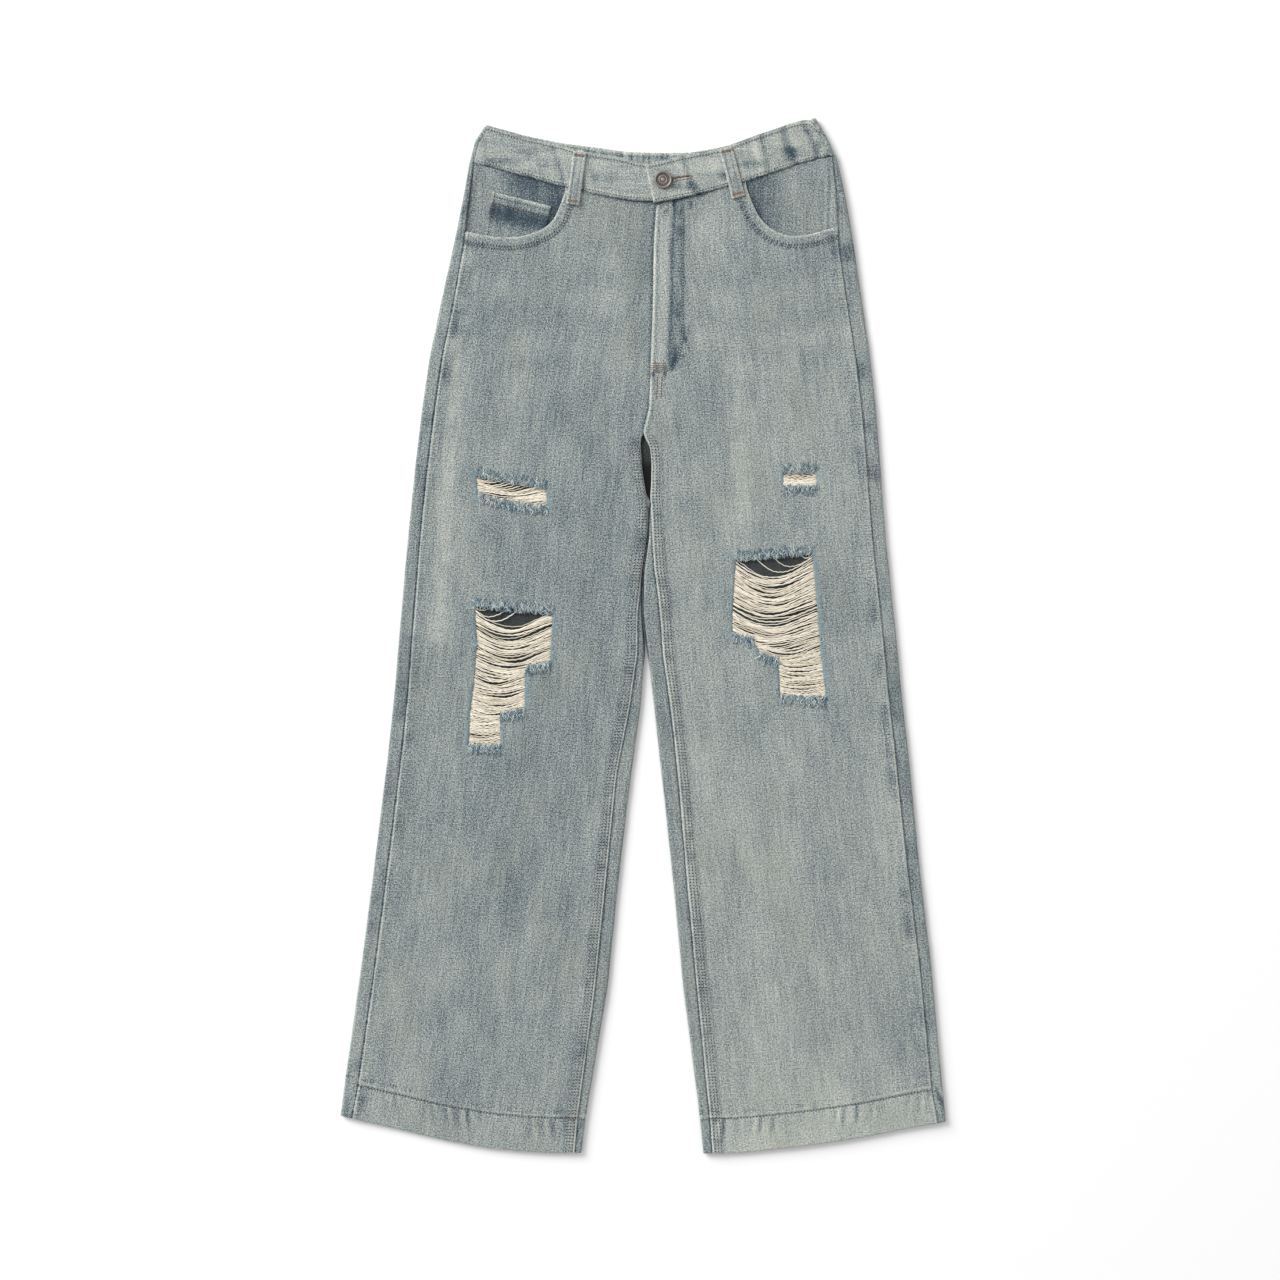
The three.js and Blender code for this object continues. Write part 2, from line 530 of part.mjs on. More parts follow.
/** The same from the foot of the inner fold upwards, or flat to the centre back seam above the crotch. */
function innerFoldPoint(side, y, share, wall) {
  const seamX = centreBack(y) + (side.out * GAP) / 2;
  const flatX = seamX + side.out * CENTRE_STEP * (1 - share);
  const flatZ = backUnder(flatX, y);
  const flat = { top: [flatX, y, flatZ], under: [flatX, y, flatZ + wall] };
  const folded = ease(...BACK_CURL_ZONE, y);
  if (folded === 0) return flat;
  const distance = share * (2 * QUARTER - side.inseam(y) - GAP / 2);
  const crest = innerCrest(side, y);
  let fold;
  if (distance > 2 * QUARTER) {
    const x = crest + side.out * (distance - 2 * QUARTER);
    const z = baseTop(side, x, y);
    fold = { top: [x, y, z], under: [x, y, z - wall] };
  } else {
    const angle = distance / FOLD_RADIUS - Math.PI / 2;
    const onArc = (radius) => [crest - side.out * radius * Math.cos(angle), y,
      FOLD_RADIUS + radius * Math.sin(angle)];
    fold = { top: onArc(FOLD_RADIUS), under: onArc(FOLD_RADIUS - wall) };
  }
  const mix = (a, b) => a.map((value, i) => THREE.MathUtils.lerp(value, b[i], folded));
  return { top: mix(flat.top, fold.top), under: mix(flat.under, fold.under) };
}

// Columns of a back ply: on top beyond the outer fold, the fold, the underside, the inner fold.
const WRAP_TOP = [1];
const WRAP_ANGLES = [1, 0.5, 0, -0.5, -1];
const UNDER_SHARES = [0.12, 0.27, 0.5, 0.74, 0.89];
const INNER_SHARES = [0, 0.17, 0.34, 0.51, 0.7, 1];

/** Columns round a back ply: each gives the points at a height y. */
function backColumns(side, wall) {
  const seamRun = (y) => side.sideInset(y) - FOLD_RADIUS - GAP / 2;
  const underPoint = (share, y) => {
    const x = THREE.MathUtils.lerp(outerCrest(side, y), innerFoldPoint(side, y, 0, wall).top[0], share);
    return { top: [x, y, backUnder(x, y)], under: [x, y, backUnder(x, y) + wall] };
  };
  return [
    ...WRAP_TOP.map((share) => (y) => outerFoldPoint(side, y, QUARTER + share * seamRun(y), wall)),
    ...WRAP_ANGLES.map((share) => (y) => outerFoldPoint(side, y, share * QUARTER, wall)),
    ...UNDER_SHARES.map((share) => (y) => underPoint(share, y)),
    ...INNER_SHARES.map((share) => (y) => innerFoldPoint(side, y, share, wall)),
  ];
}

/** A back ply on the given rows. */
function backPly(side, rows) {
  return plySolid(rows.map(({ heightAt, wall }) => backColumns(side, wall).map((pointAt) =>
    settle(heightAt, side.out * PANEL_MIDDLE, pointAt))));
}

/** Lower edge of the yoke, a shallow V with its point at the centre back. */
function yokeEdge(x) {
  return THREE.MathUtils.lerp(YOKE_CENTRE, YOKE_SIDE, Math.min(1, Math.abs(x) / YOKE_REACH));
}

/** Back leg panel, from the yoke to the hem. */
function backPanel(side) {
  return backPly(side, [...upperRows((x) => yokeEdge(x) - GAP, 2), ...legRows(side)]);
}

/** Back yoke, between the waistband and the back panel. */
function backYoke(side) {
  return backPly(side, YOKE_SHARES.map((share) => ({
    heightAt: (x) => THREE.MathUtils.lerp(backBandSeam(x) - BAND_GAP, yokeEdge(x), share),
    wall: WALL,
  })));
}

/** Plain patch pocket under a back panel, with a pointed lower edge. */
function backPocket(side) {
  const { x, y, halfWidth, halfHeight, point, taper } = BACK_POCKET;
  const shape = new THREE.Shape([
    new THREE.Vector2(-halfWidth, halfHeight),
    new THREE.Vector2(-halfWidth + taper, point - halfHeight),
    new THREE.Vector2(0, -halfHeight),
    new THREE.Vector2(halfWidth - taper, point - halfHeight),
    new THREE.Vector2(halfWidth, halfHeight),
  ]);
  const geometry = new THREE.ExtrudeGeometry(shape, { depth: WALL, bevelEnabled: false });
  return geometry.translate(side.out * x, y, 0);
}

// ---- Waistband, loops and button ---------------------------------------------------------------
/** Height of the top face of the front waistband, before any overlap. */
function bandBase(side, x, y) {
  const crest = BACK_LIFT + 2 * BAND_FOLD_RADIUS;
  const middle = BACK_LIFT + 2 * BAND_WALL + 2 * GAP;
  const fromFold = Math.max(0, side.out * (side.bandOuter(y) - side.out * BAND_FOLD_RADIUS - x));
  return THREE.MathUtils.lerp(middle, crest, Math.exp(-fromFold / FOLD_REACH));
}

/** Height of the top face of the front waistband; the left end lies over the right one. */
function bandHeight(side, x, y) {
  const over = side === LEFT ? ease(...OVERLAP_RAMP, x) : 0;
  return bandBase(side, x, y) + over * (BAND_WALL + GAP);
}

const BAND_SHARES = [0, 0.06, 0.14, 0.26, 0.38, 0.5, 0.62, 0.7, 0.78, 0.86, 0.93, 1];
const BAND_ROWS = [0, 0.5, 1];

/** Front half of the waistband, from its side seam to its front end. */
function bandFront(side) {
  const { top, bottom, topX, bottomX } = BAND_FRONT_EDGE;
  const overlapX = (y) => THREE.MathUtils.mapLinear(y, top, bottom, topX, bottomX);
  const endX = (y) => (side === RIGHT ? OVERLAP_END : overlapX(y));
  const pointAt = (share, y) => {
    const x = THREE.MathUtils.lerp(side.bandOuter(y) - side.out * (BAND_INSET + GAP / 2), endX(y), share);
    const z = bandHeight(side, x, y);
    return { top: [x, y, z], under: [x, y, z - BAND_WALL] };
  };
  return plySolid(BAND_ROWS.map((row) => {
    const heightAt = (x) => THREE.MathUtils.lerp(side.bandSeam(x) + bandClear(side, x), side.bandTop(x), row);
    return BAND_SHARES.map((share) => settle(heightAt, side.out * BAND_MIDDLE, (y) => pointAt(share, y)));
  }));
}

/** The underlap is cut a little shallower, so that it stays behind the left half. */
function bandClear(side, x) {
  return side === RIGHT ? UNDERLAP_TRIM * ease(4, 16, x) : 0;
}

/** Left half of the waistband with its keyhole buttonhole. */
function bandFrontLeft() {
  const { eyelet, slitWidth, endX, endY } = BUTTONHOLE;
  const hole = new THREE.CylinderGeometry(eyelet, eyelet, PRISM.depth, ROUND_STEPS);
  hole.rotateX(Math.PI / 2);
  hole.translate(BUTTON.x, BUTTON.y, 0);
  const along = new THREE.Vector2(endX - BUTTON.x, endY - BUTTON.y);
  const slit = new THREE.BoxGeometry(along.length(), slitWidth, PRISM.depth);
  slit.rotateZ(along.angle());
  slit.translate((BUTTON.x + endX) / 2, (BUTTON.y + endY) / 2, 0);
  return toGeometry(toSolid(bandFront(LEFT)).subtract(toSolid(hole)).subtract(toSolid(slit)));
}

/** Back of the waistband, round both folds to the side seams on top. */
function bandBack() {
  const foldPoint = (side, y, distance) => {
    const centre = { x: side.bandOuter(y) - side.out * BAND_FOLD_RADIUS, z: BACK_LIFT + BAND_FOLD_RADIUS };
    const run = distance - BAND_QUARTER;
    if (run > 0) {
      const x = centre.x - side.out * run;
      return { top: [x, y, bandBase(side, x, y)], under: [x, y, bandBase(side, x, y) - BAND_WALL] };
    }
    const angle = distance / BAND_FOLD_RADIUS;
    const onArc = (radius) => [centre.x + side.out * radius * Math.cos(angle), y,
      centre.z + radius * Math.sin(angle)];
    return { top: onArc(BAND_FOLD_RADIUS), under: onArc(BAND_FOLD_RADIUS - BAND_WALL) };
  };
  const wrap = (side) => [BAND_QUARTER + BAND_INSET - BAND_FOLD_RADIUS - GAP / 2,
    ...[1, 0.6, 0.2, -0.2, -0.6, -1].map((share) => share * BAND_QUARTER)]
    .map((distance) => (y) => foldPoint(side, y, distance));
  const under = [0.06, 0.14, 0.24, 0.34, 0.43, 0.52, 0.61, 0.71, 0.81, 0.89, 0.95].map((share) => (y) => {
    const from = RIGHT.bandOuter(y) + BAND_FOLD_RADIUS;
    const x = THREE.MathUtils.lerp(from, LEFT.bandOuter(y) - BAND_FOLD_RADIUS, share);
    return { top: [x, y, BACK_LIFT], under: [x, y, BACK_LIFT + BAND_WALL] };
  });
  const columns = [...wrap(RIGHT), ...under, ...wrap(LEFT).reverse()];
  return plySolid(BAND_ROWS.map((row) => columns.map((pointAt) =>
    settle((x) => THREE.MathUtils.lerp(backBandSeam(x), backBandTop(x), row), 0, pointAt))));
}

/** Height of whatever a front belt loop lies on. */
function frontSurface(side, x, y) {
  if (y > side.bandSeam(x) - 2) return bandHeight(side, x, y);
  return baseTop(side, x, y) + LAYER * pliesUnderFront(side, x, y);
}

/** Front belt loop: a strip from the top of the waistband to just below it. */
function frontLoop(side, top, foot) {
  const stations = [0, 0.1, 0.3, 0.5, 0.68, 0.77, 0.86, 1];
  const axis = new THREE.Vector2(foot[0] - top[0], foot[1] - top[1]);
  const across = new THREE.Vector2(-axis.y, axis.x).normalize();
  const faces = stations.map((share) => {
    const middle = [top[0] + share * axis.x, top[1] + share * axis.y];
    const edges = [-1, 1].map((hand) => [middle[0] + (hand * across.x * LOOP_WIDTH) / 2,
      middle[1] + (hand * across.y * LOOP_WIDTH) / 2]);
    const rest = Math.max(...edges.map(([x, y]) => frontSurface(side, x, y + LOOP_LOOK_UP)));
    const bow = LOOP_BOW.height * Math.sin(Math.PI * Math.min(1, share / LOOP_BOW.end));
    const z = rest + LOOP_CLEARANCE + bow;
    return edges.map(([x, y]) => ({ top: [x, y, z + LOOP_WALL], under: [x, y, z] }));
  });
  return plySolid(faces);
}

/** Back belt loop, flat under the waistband. */
function backLoop(x) {
  const geometry = new THREE.BoxGeometry(LOOP_WIDTH, BACK_LOOP_LENGTH, WALL);
  return geometry.translate(x, backBandTop(x) - 1 - BACK_LOOP_LENGTH / 2, WALL / 2);
}

/** Shank button: its foot stands on the underlap, its cap over the buttonhole. */
function button() {
  const { x, y, radius, capHeight, shankRadius, clearance } = BUTTON;
  const foot = bandBase(RIGHT, x, y) + GAP;
  const cap = bandHeight(LEFT, x, y) + clearance;
  const profile = [[0, foot], [shankRadius, foot], [shankRadius, cap], [radius - 0.6, cap],
    [radius, cap + 0.6], [radius, cap + capHeight - 0.9], [radius - 0.8, cap + capHeight - 0.2],
    [radius - 1.8, cap + capHeight - 0.2], [radius - 2.4, cap + capHeight - 0.7],
    [2.6, cap + capHeight - 0.6], [2, cap + capHeight - 0.1], [0, cap + capHeight]];
  const geometry = new THREE.LatheGeometry(profile.map(([r, z]) => new THREE.Vector2(r, z)), ROUND_STEPS);
  geometry.rotateX(Math.PI / 2);
  return geometry.translate(x, y, 0);
}

// ---- The garment -------------------------------------------------------------------------------
const denim = { color: 0x929c9c, roughness: 0.92, metalness: 0 };
const shadedDenim = { color: 0x7f878a, roughness: 0.92, metalness: 0 };
const coinDenim = { color: 0x62686e, roughness: 0.92, metalness: 0 };
const thread = { color: 0xdcd2b9, roughness: 0.95, metalness: 0 };
const agedBrass = { color: 0x6d6258, roughness: 0.45, metalness: 0.9 };

const jeans = new THREE.Group();

/** Adds one named piece to the garment. */
function addPiece(name, geometry, finish) {
  const mesh = new THREE.Mesh(geometry, new THREE.MeshStandardMaterial(finish));
  mesh.name = name;
  jeans.add(mesh);
}

for (const side of [RIGHT, LEFT]) {
  addPiece(`front_panel_${side.name}`, frontPanel(side), denim);
  addPiece(`back_panel_${side.name}`, backPanel(side), denim);
  addPiece(`back_yoke_${side.name}`, backYoke(side), denim);
  addPiece(`back_pocket_${side.name}`, backPocket(side), denim);
  addPiece(`pocket_facing_${side.name}`, pocketFacing(side), shadedDenim);
  for (const name of Object.keys(RIPS).filter((rip) => rip.endsWith(side.name))) {
    addPiece(name, ripWeb(side, name), thread);
  }
}
addPiece("coin_pocket", coinPocket(), coinDenim);
addPiece("fly_facing", flyFacing(), denim);
addPiece("waistband_front_right", bandFront(RIGHT), denim);
addPiece("waistband_front_left", bandFrontLeft(), denim);
addPiece("waistband_back", bandBack(), shadedDenim);
addPiece("belt_loop_front_right", frontLoop(RIGHT, [-64.5, 483.5], [-71.5, 430.8]), denim);
addPiece("belt_loop_front_left", frontLoop(LEFT, [80.8, 487.5], [94, 438.5]), denim);
["right", "centre", "left"].forEach((place, i) => {
  addPiece(`belt_loop_back_${place}`, backLoop(BACK_LOOP_X[i]), denim);
});
addPiece("waist_button", button(), agedBrass);

export default jeans;
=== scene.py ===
"""Ripped wide-leg denim jeans laid flat with the front up.

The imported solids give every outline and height. This script makes the fine cloth on them, with its seams,
puckers, wear, stitching, frayed rips and button. Lengths are millimetres until a mesh is made.
"""
import logging
import math
from dataclasses import dataclass, field
from enum import Enum

import bpy
import numpy as np
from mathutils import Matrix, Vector
from mathutils.bvhtree import BVHTree


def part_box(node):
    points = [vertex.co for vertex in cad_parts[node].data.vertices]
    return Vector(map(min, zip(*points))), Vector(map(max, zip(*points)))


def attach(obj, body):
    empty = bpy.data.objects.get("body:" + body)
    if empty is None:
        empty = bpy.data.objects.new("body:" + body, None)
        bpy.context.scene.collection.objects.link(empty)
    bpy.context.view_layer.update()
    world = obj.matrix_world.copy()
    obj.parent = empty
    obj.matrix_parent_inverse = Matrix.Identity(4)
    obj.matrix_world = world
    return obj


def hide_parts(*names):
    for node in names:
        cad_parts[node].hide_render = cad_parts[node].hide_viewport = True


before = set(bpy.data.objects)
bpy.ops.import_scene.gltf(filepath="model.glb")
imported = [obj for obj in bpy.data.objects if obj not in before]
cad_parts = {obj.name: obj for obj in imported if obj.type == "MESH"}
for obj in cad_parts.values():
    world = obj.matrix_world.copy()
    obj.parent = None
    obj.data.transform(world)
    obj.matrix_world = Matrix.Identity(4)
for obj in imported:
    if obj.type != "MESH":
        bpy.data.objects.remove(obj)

log = logging.getLogger("jeans")
Array = np.ndarray
MM = 0.001  # metres in a millimetre
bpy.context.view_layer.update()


class Side(Enum):
    """Side of the wearer, with the sign of its x."""

    RIGHT = -1
    LEFT = 1

    @property
    def word(self) -> str:
        """The side's name as the nodes spell it."""
        return self.name.lower()


# ---- Small helpers on arrays ---------------------------------------------------------------------
def ease(start: float, end: float, value: Array) -> Array:
    """Smooth step from 0 at start to 1 at end; start may lie after end.

    Args:
        start: Value at which the result is 0.
        end: Value at which the result is 1.
        value: Where to look.

    Returns:
        The eased share.
    """
    share = np.clip((np.asarray(value, float) - start) / (end - start), 0, 1)
    return share * share * (3 - 2 * share)


def bell(value: Array, centre: float, width: float) -> Array:
    """A bump of height 1 at centre that fades over width."""
    return np.exp(-(((value - centre) / width) ** 2))


def smooth(values: Array, passes: int) -> Array:
    """A list of numbers with its small steps averaged out, its ends kept."""
    values = values.copy()
    for _ in range(passes):
        values[1:-1] = (values[:-2] + 2 * values[1:-1] + values[2:]) / 4
    return values


def inside(outline: Array, x: Array, y: Array) -> Array:
    """Which points lie inside a closed outline.

    Args:
        outline: Corners in order, one row each.
        x: x of the points.
        y: y of the points.

    Returns:
        True for each point inside.
    """
    result = np.zeros(np.shape(x), bool)
    for (x0, y0), (x1, y1) in zip(outline, np.roll(outline, -1, axis=0)):
        if y0 != y1:
            crosses = (y0 > y) != (y1 > y)
            result ^= crosses & (x < (x1 - x0) * (y - y0) / (y1 - y0) + x0)
    return result


def nearest(line: Array, x: Array, y: Array, closed: bool = False) -> tuple[Array, Array, Array]:
    """Distance from points to a line of points, and where on it they are nearest.

    Args:
        line: Points of the line, one row each.
        x: x of the points.
        y: y of the points.
        closed: Whether the line returns to its start.

    Returns:
        The distances, and the x and y of the nearest places.
    """
    least = np.full(np.shape(x), np.inf)
    near_x = np.zeros(np.shape(x))
    near_y = np.zeros(np.shape(x))
    ends = np.roll(line, -1, axis=0) if closed else line[1:]
    for (x0, y0), (x1, y1) in zip(line, ends):
        span = max((x1 - x0) ** 2 + (y1 - y0) ** 2, 1e-9)
        share = np.clip(((x - x0) * (x1 - x0) + (y - y0) * (y1 - y0)) / span, 0, 1)
        px = x0 + share * (x1 - x0)
        py = y0 + share * (y1 - y0)
        distance = np.hypot(x - px, y - py)
        closer = distance < least
        least = np.where(closer, distance, least)
        near_x = np.where(closer, px, near_x)
        near_y = np.where(closer, py, near_y)
    return least, near_x, near_y


def resample(line: Array, pitch: float) -> Array:
    """The same line with points a pitch apart."""
    steps = np.hypot(*np.diff(line, axis=0).T[:2])
    along = np.concatenate([[0], np.cumsum(steps)])
    count = max(2, int(round(along[-1] / pitch)) + 1)
    places = np.linspace(0, along[-1], count)
    return np.stack([np.interp(places, along, column) for column in line.T], axis=1)


def shifted(line: Array, distance: float) -> Array:
    """A line moved sideways, to its left as it runs."""
    run = np.gradient(line, axis=0)
    run /= np.maximum(np.linalg.norm(run, axis=1, keepdims=True), 1e-9)
    return line + distance * np.stack([-run[:, 1], run[:, 0]], axis=1)


class Noise:
    """Soft random heights over the cloth, the same on every run."""

    def __init__(self, seed: int) -> None:
        """Fill the lattice from a seed."""
        self.lattice = np.random.default_rng(seed).random((128, 128)) * 2 - 1

    def at(self, x: Array, y: Array, size_x: float, size_y: float, octaves: int = 2) -> Array:
        """Noise from -1 to 1.

        Args:
            x: x of the places.
            y: y of the places.
            size_x: Width of its largest blobs.
            size_y: Length of its largest blobs.
            octaves: How many finer layers it adds up.

        Returns:
            One value for each place.
        """
        total = np.zeros(np.broadcast(x, y).shape)
        weight = 0.0
        for octave in range(octaves):
            fade = 0.5**octave
            u = np.asarray(x) * 2**octave / size_x + 17.3 * octave
            v = np.asarray(y) * 2**octave / size_y + 31.7 * octave
            low_u, low_v = np.floor(u).astype(int), np.floor(v).astype(int)
            share_u, share_v = ease(0, 1, u - low_u), ease(0, 1, v - low_v)
            corner = [self.lattice[(low_u + i) % 128, (low_v + j) % 128] for i in (0, 1) for j in (0, 1)]
            low = corner[0] * (1 - share_v) + corner[1] * share_v
            high = corner[2] * (1 - share_v) + corner[3] * share_v
            total = total + fade * (low * (1 - share_u) + high * share_u)
            weight += fade
        return total / weight * 1.4


BROAD = Noise(3)
FINE = Noise(11)
PATCHY = Noise(29)


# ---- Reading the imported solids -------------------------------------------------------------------
class Curve:
    """A measured line: a value for each level, straight beyond its ends."""

    def __init__(self, levels: Array, values: Array, passes: int = 6) -> None:
        """Keep the levels where something was found, evened out."""
        found = np.isfinite(values)
        self.levels = levels[found]
        self.values = smooth(values[found], passes)
        reach = min(8, len(self.values) - 1)
        self.start = self._slope(0, reach)
        self.end = self._slope(-1 - reach, -1)

    def _slope(self, first: int, last: int) -> float:
        """Slope between two kept levels."""
        return (self.values[last] - self.values[first]) / (self.levels[last] - self.levels[first])

    def __call__(self, level: Array) -> Array:
        """Value at a level."""
        level = np.asarray(level, float)
        value = np.interp(level, self.levels, self.values)
        below = np.minimum(level - self.levels[0], 0) * self.start
        above = np.maximum(level - self.levels[-1], 0) * self.end
        return value + below + above


class Solid:
    """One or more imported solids, measured in millimetres."""

    def __init__(self, *nodes: str) -> None:
        """Gather the nodes' triangles."""
        corners: list[Array] = []
        triangles: list[Array] = []
        count = 0
        for node in nodes:
            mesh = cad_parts[node].data
            mesh.calc_loop_triangles()
            points = np.array([v.co for v in mesh.vertices]) / MM
            corners.append(points)
            triangles.append(np.array([t.vertices for t in mesh.loop_triangles]) + count)
            count += len(points)
        self.points = np.concatenate(corners)
        self.triangles = np.concatenate(triangles)
        self.tree = BVHTree.FromPolygons(self.points.tolist(), self.triangles.tolist())
        ends = np.concatenate([self.triangles[:, [0, 1]], self.triangles[:, [1, 2]], self.triangles[:, [2, 0]]])
        self.edges = self.points[ends]

    def cut(self, axis: int, level: float) -> Array:
        """Points where the surface crosses a plane across an axis."""
        first, last = self.edges[:, 0], self.edges[:, 1]
        crossing = (first[:, axis] - level) * (last[:, axis] - level) < 0
        first, last = first[crossing], last[crossing]
        share = (level - first[:, axis]) / (last[:, axis] - first[:, axis])
        return first + share[:, None] * (last - first)

    def reach(self, axis: int, across: int, sign: int, levels: Array, passes: int = 6) -> Curve:
        """How far the solids go, level by level.

        Args:
            axis: Axis of the levels.
            across: Axis along which they reach.
            sign: 1 for the far side, -1 for the near side.
            levels: Where to cut.
            passes: How much the line is evened out.

        Returns:
            The edge as a curve.
        """
        values = []
        for level in levels:
            found = self.cut(axis, level)
            values.append(sign * (sign * found[:, across]).max() if len(found) else math.nan)
        return Curve(levels, np.array(values), passes)

    def face_height(self, x: float, y: float, sign: int) -> float | None:
        """Height of the top face (sign 1) or the under face (sign -1), or None beside the solids."""
        hit = self.tree.ray_cast(Vector((x, y, 100.0 * sign)), Vector((0, 0, -sign)))[0]
        return None if hit is None else hit.z

    def rims(self) -> list[Array]:
        """Closed outlines of the top face, the longest first."""
        keys, index = np.unique(np.round(self.points, 2), axis=0, return_inverse=True)
        triangles = index.reshape(-1)[self.triangles]
        corner = keys[triangles]
        normal = np.cross(corner[:, 1] - corner[:, 0], corner[:, 2] - corner[:, 0])
        normal /= np.maximum(np.linalg.norm(normal, axis=1, keepdims=True), 1e-12)
        on_top = normal[:, 2] > 0.5
        follows: dict[int, int] = {}
        shared: set[tuple[int, int]] = set()
        for triangle in triangles[on_top]:
            for a, b in zip(triangle, np.roll(triangle, -1)):
                shared.add((int(a), int(b)))
        for a, b in shared:
            if (b, a) not in shared:
                follows[a] = b
        loops = []
        while follows:
            first, here = follows.popitem()
            loop = [first]
            while here != first and here in follows:
                loop.append(here)
                here = follows.pop(here)
            loops.append(keys[loop][:, :2])
        length = [np.linalg.norm(np.diff(loop, axis=0), axis=1).sum() for loop in loops]
        return [loops[i] for i in np.argsort(length)[::-1] if len(loops[i]) > 2]


class HeightField:
    """Heights of a solid's top or under face over a square grid, with its facets smoothed out."""

    def __init__(self, solid: Solid, blur: int, sign: int = 1, pitch: float = 4.0) -> None:
        """Look down on the solid, or up at it.

        Args:
            solid: What to measure.
            blur: Smoothing passes over the grid.
            sign: 1 for the top face, -1 for the under face.
            pitch: Size of a grid square.
        """
        low, high = solid.points.min(axis=0), solid.points.max(axis=0)
        self.low = low[:2] - 2 * pitch
        self.pitch = pitch
        self.shape = np.ceil((high[:2] - self.low) / pitch).astype(int) + 3
        self.heights = np.zeros(self.shape)
        for i in range(self.shape[0]):
            for j in range(self.shape[1]):
                x, y = self.low + pitch * np.array([i, j])
                self.heights[i, j] = self._height(solid, float(x), float(y), sign)
        for _ in range(blur):
            grid = np.pad(self.heights, 1, mode="edge")
            grid = (grid[:-2] + 2 * grid[1:-1] + grid[2:]) / 4
            self.heights = (grid[:, :-2] + 2 * grid[:, 1:-1] + grid[:, 2:]) / 4

    @staticmethod
    def _height(solid: Solid, x: float, y: float, sign: int) -> float:
        """Height at a point, or that of the nearest edge beside the solid."""
        found = solid.face_height(x, y, sign)
        if found is not None:
            return found
        near = solid.tree.find_nearest(Vector((x, y, 5.0)))[0]
        step = Vector((near.x - x, near.y - y))
        step = step.normalized() * 0.8 if step.length > 0 else step
        found = solid.face_height(near.x + step.x, near.y + step.y, sign)
        return near.z if found is None else found

    def __call__(self, x: Array, y: Array) -> Array:
        """Height at each point, between the grid's corners."""
        u = np.clip((np.asarray(x) - self.low[0]) / self.pitch, 0, self.shape[0] - 1.001)
        v = np.clip((np.asarray(y) - self.low[1]) / self.pitch, 0, self.shape[1] - 1.001)
        i, j = u.astype(int), v.astype(int)
        u, v = u - i, v - j
        low = self.heights[i, j] * (1 - v) + self.heights[i, j + 1] * v
        high = self.heights[i + 1, j] * (1 - v) + self.heights[i + 1, j + 1] * v
        return low * (1 - u) + high * u


# ---- Cloth ---------------------------------------------------------------------------------------
@dataclass
class Cloth:
    """An open sheet of cloth, with what its finish reads at each point."""

    points: Array
    faces: Array
    grain: Array
    deep: Array
    wear: Array
    tone: Array
    indigo: Array
    sewn: Array
    along: Array

    @classmethod
    def from_grid(cls, points: Array, grain: Array) -> "Cloth":
        """A sheet over a grid.

        Args:
            points: Points, as rows by columns by three.
            grain: Distance across and along the warp, as rows by columns by two.

        Returns:
            The sheet, plain so far.
        """
        rows, columns = points.shape[:2]
        index = np.arange(rows * columns).reshape(rows, columns)
        faces = np.stack([index[:-1, :-1], index[:-1, 1:], index[1:, 1:], index[1:, :-1]], axis=-1)
        count = rows * columns
        plain = [np.zeros(count) for _ in range(6)]
        return cls(points.reshape(-1, 3), faces.reshape(-1, 4), grain.reshape(-1, 2), *plain)

    def trim(self, outline: Array, keep_inside: bool) -> None:
        """Cut the sheet along a closed outline and draw its edge on to the cut.

        Args:
            outline: Corners of the cut.
            keep_inside: Whether the part inside stays, or the part outside.
        """
        x, y = self.points[:, 0], self.points[:, 1]
        centre = self.points[self.faces].mean(axis=1)
        stays = inside(outline, centre[:, 0], centre[:, 1]) == keep_inside
        cut_away = np.zeros(len(x), bool)
        cut_away[self.faces[~stays].ravel()] = True
        self.faces = self.faces[stays]
        kept = np.zeros(len(x), bool)
        kept[self.faces.ravel()] = True
        border = np.flatnonzero(cut_away & kept)
        if len(border):
            distance, near_x, near_y = nearest(outline, x[border], y[border], closed=True)
            close = distance < 6
            self.points[border[close], 0] = near_x[close]
            self.points[border[close], 1] = near_y[close]
        self._drop_unused(kept)

    def _drop_unused(self, kept: Array) -> None:
        """Forget the points that no face uses."""
        place = np.cumsum(kept) - 1
        self.faces = place[self.faces]
        for name in ("points", "grain", "deep", "wear", "tone", "indigo", "sewn", "along"):
            setattr(self, name, getattr(self, name)[kept])

    def normals(self) -> Array:
        """Outward direction at each point."""
        corner = self.points[self.faces]
        normal = np.cross(corner[:, 2] - corner[:, 0], corner[:, 3] - corner[:, 1])
        total = np.zeros_like(self.points)
        for i in range(4):
            np.add.at(total, self.faces[:, i], normal)
        return total / np.maximum(np.linalg.norm(total, axis=1, keepdims=True), 1e-12)

    def facing(self, up: bool) -> "Cloth":
        """The sheet with its outer face up or down, whichever way its grid ran."""
        if (self.normals()[:, 2].mean() > 0) != up:
            self.faces = self.faces[:, ::-1]
        return self


def border_edges(faces: Array) -> Array:
    """Edges of a sheet that only one face has, in that face's own order."""
    edges = np.concatenate([faces[:, [i, (i + 1) % 4]] for i in range(4)])
    edges = edges[edges[:, 0] != edges[:, 1]]
    keys = np.sort(edges, axis=1)
    _, first, count = np.unique(keys, axis=0, return_index=True, return_counts=True)
    return edges[first[count == 1]]


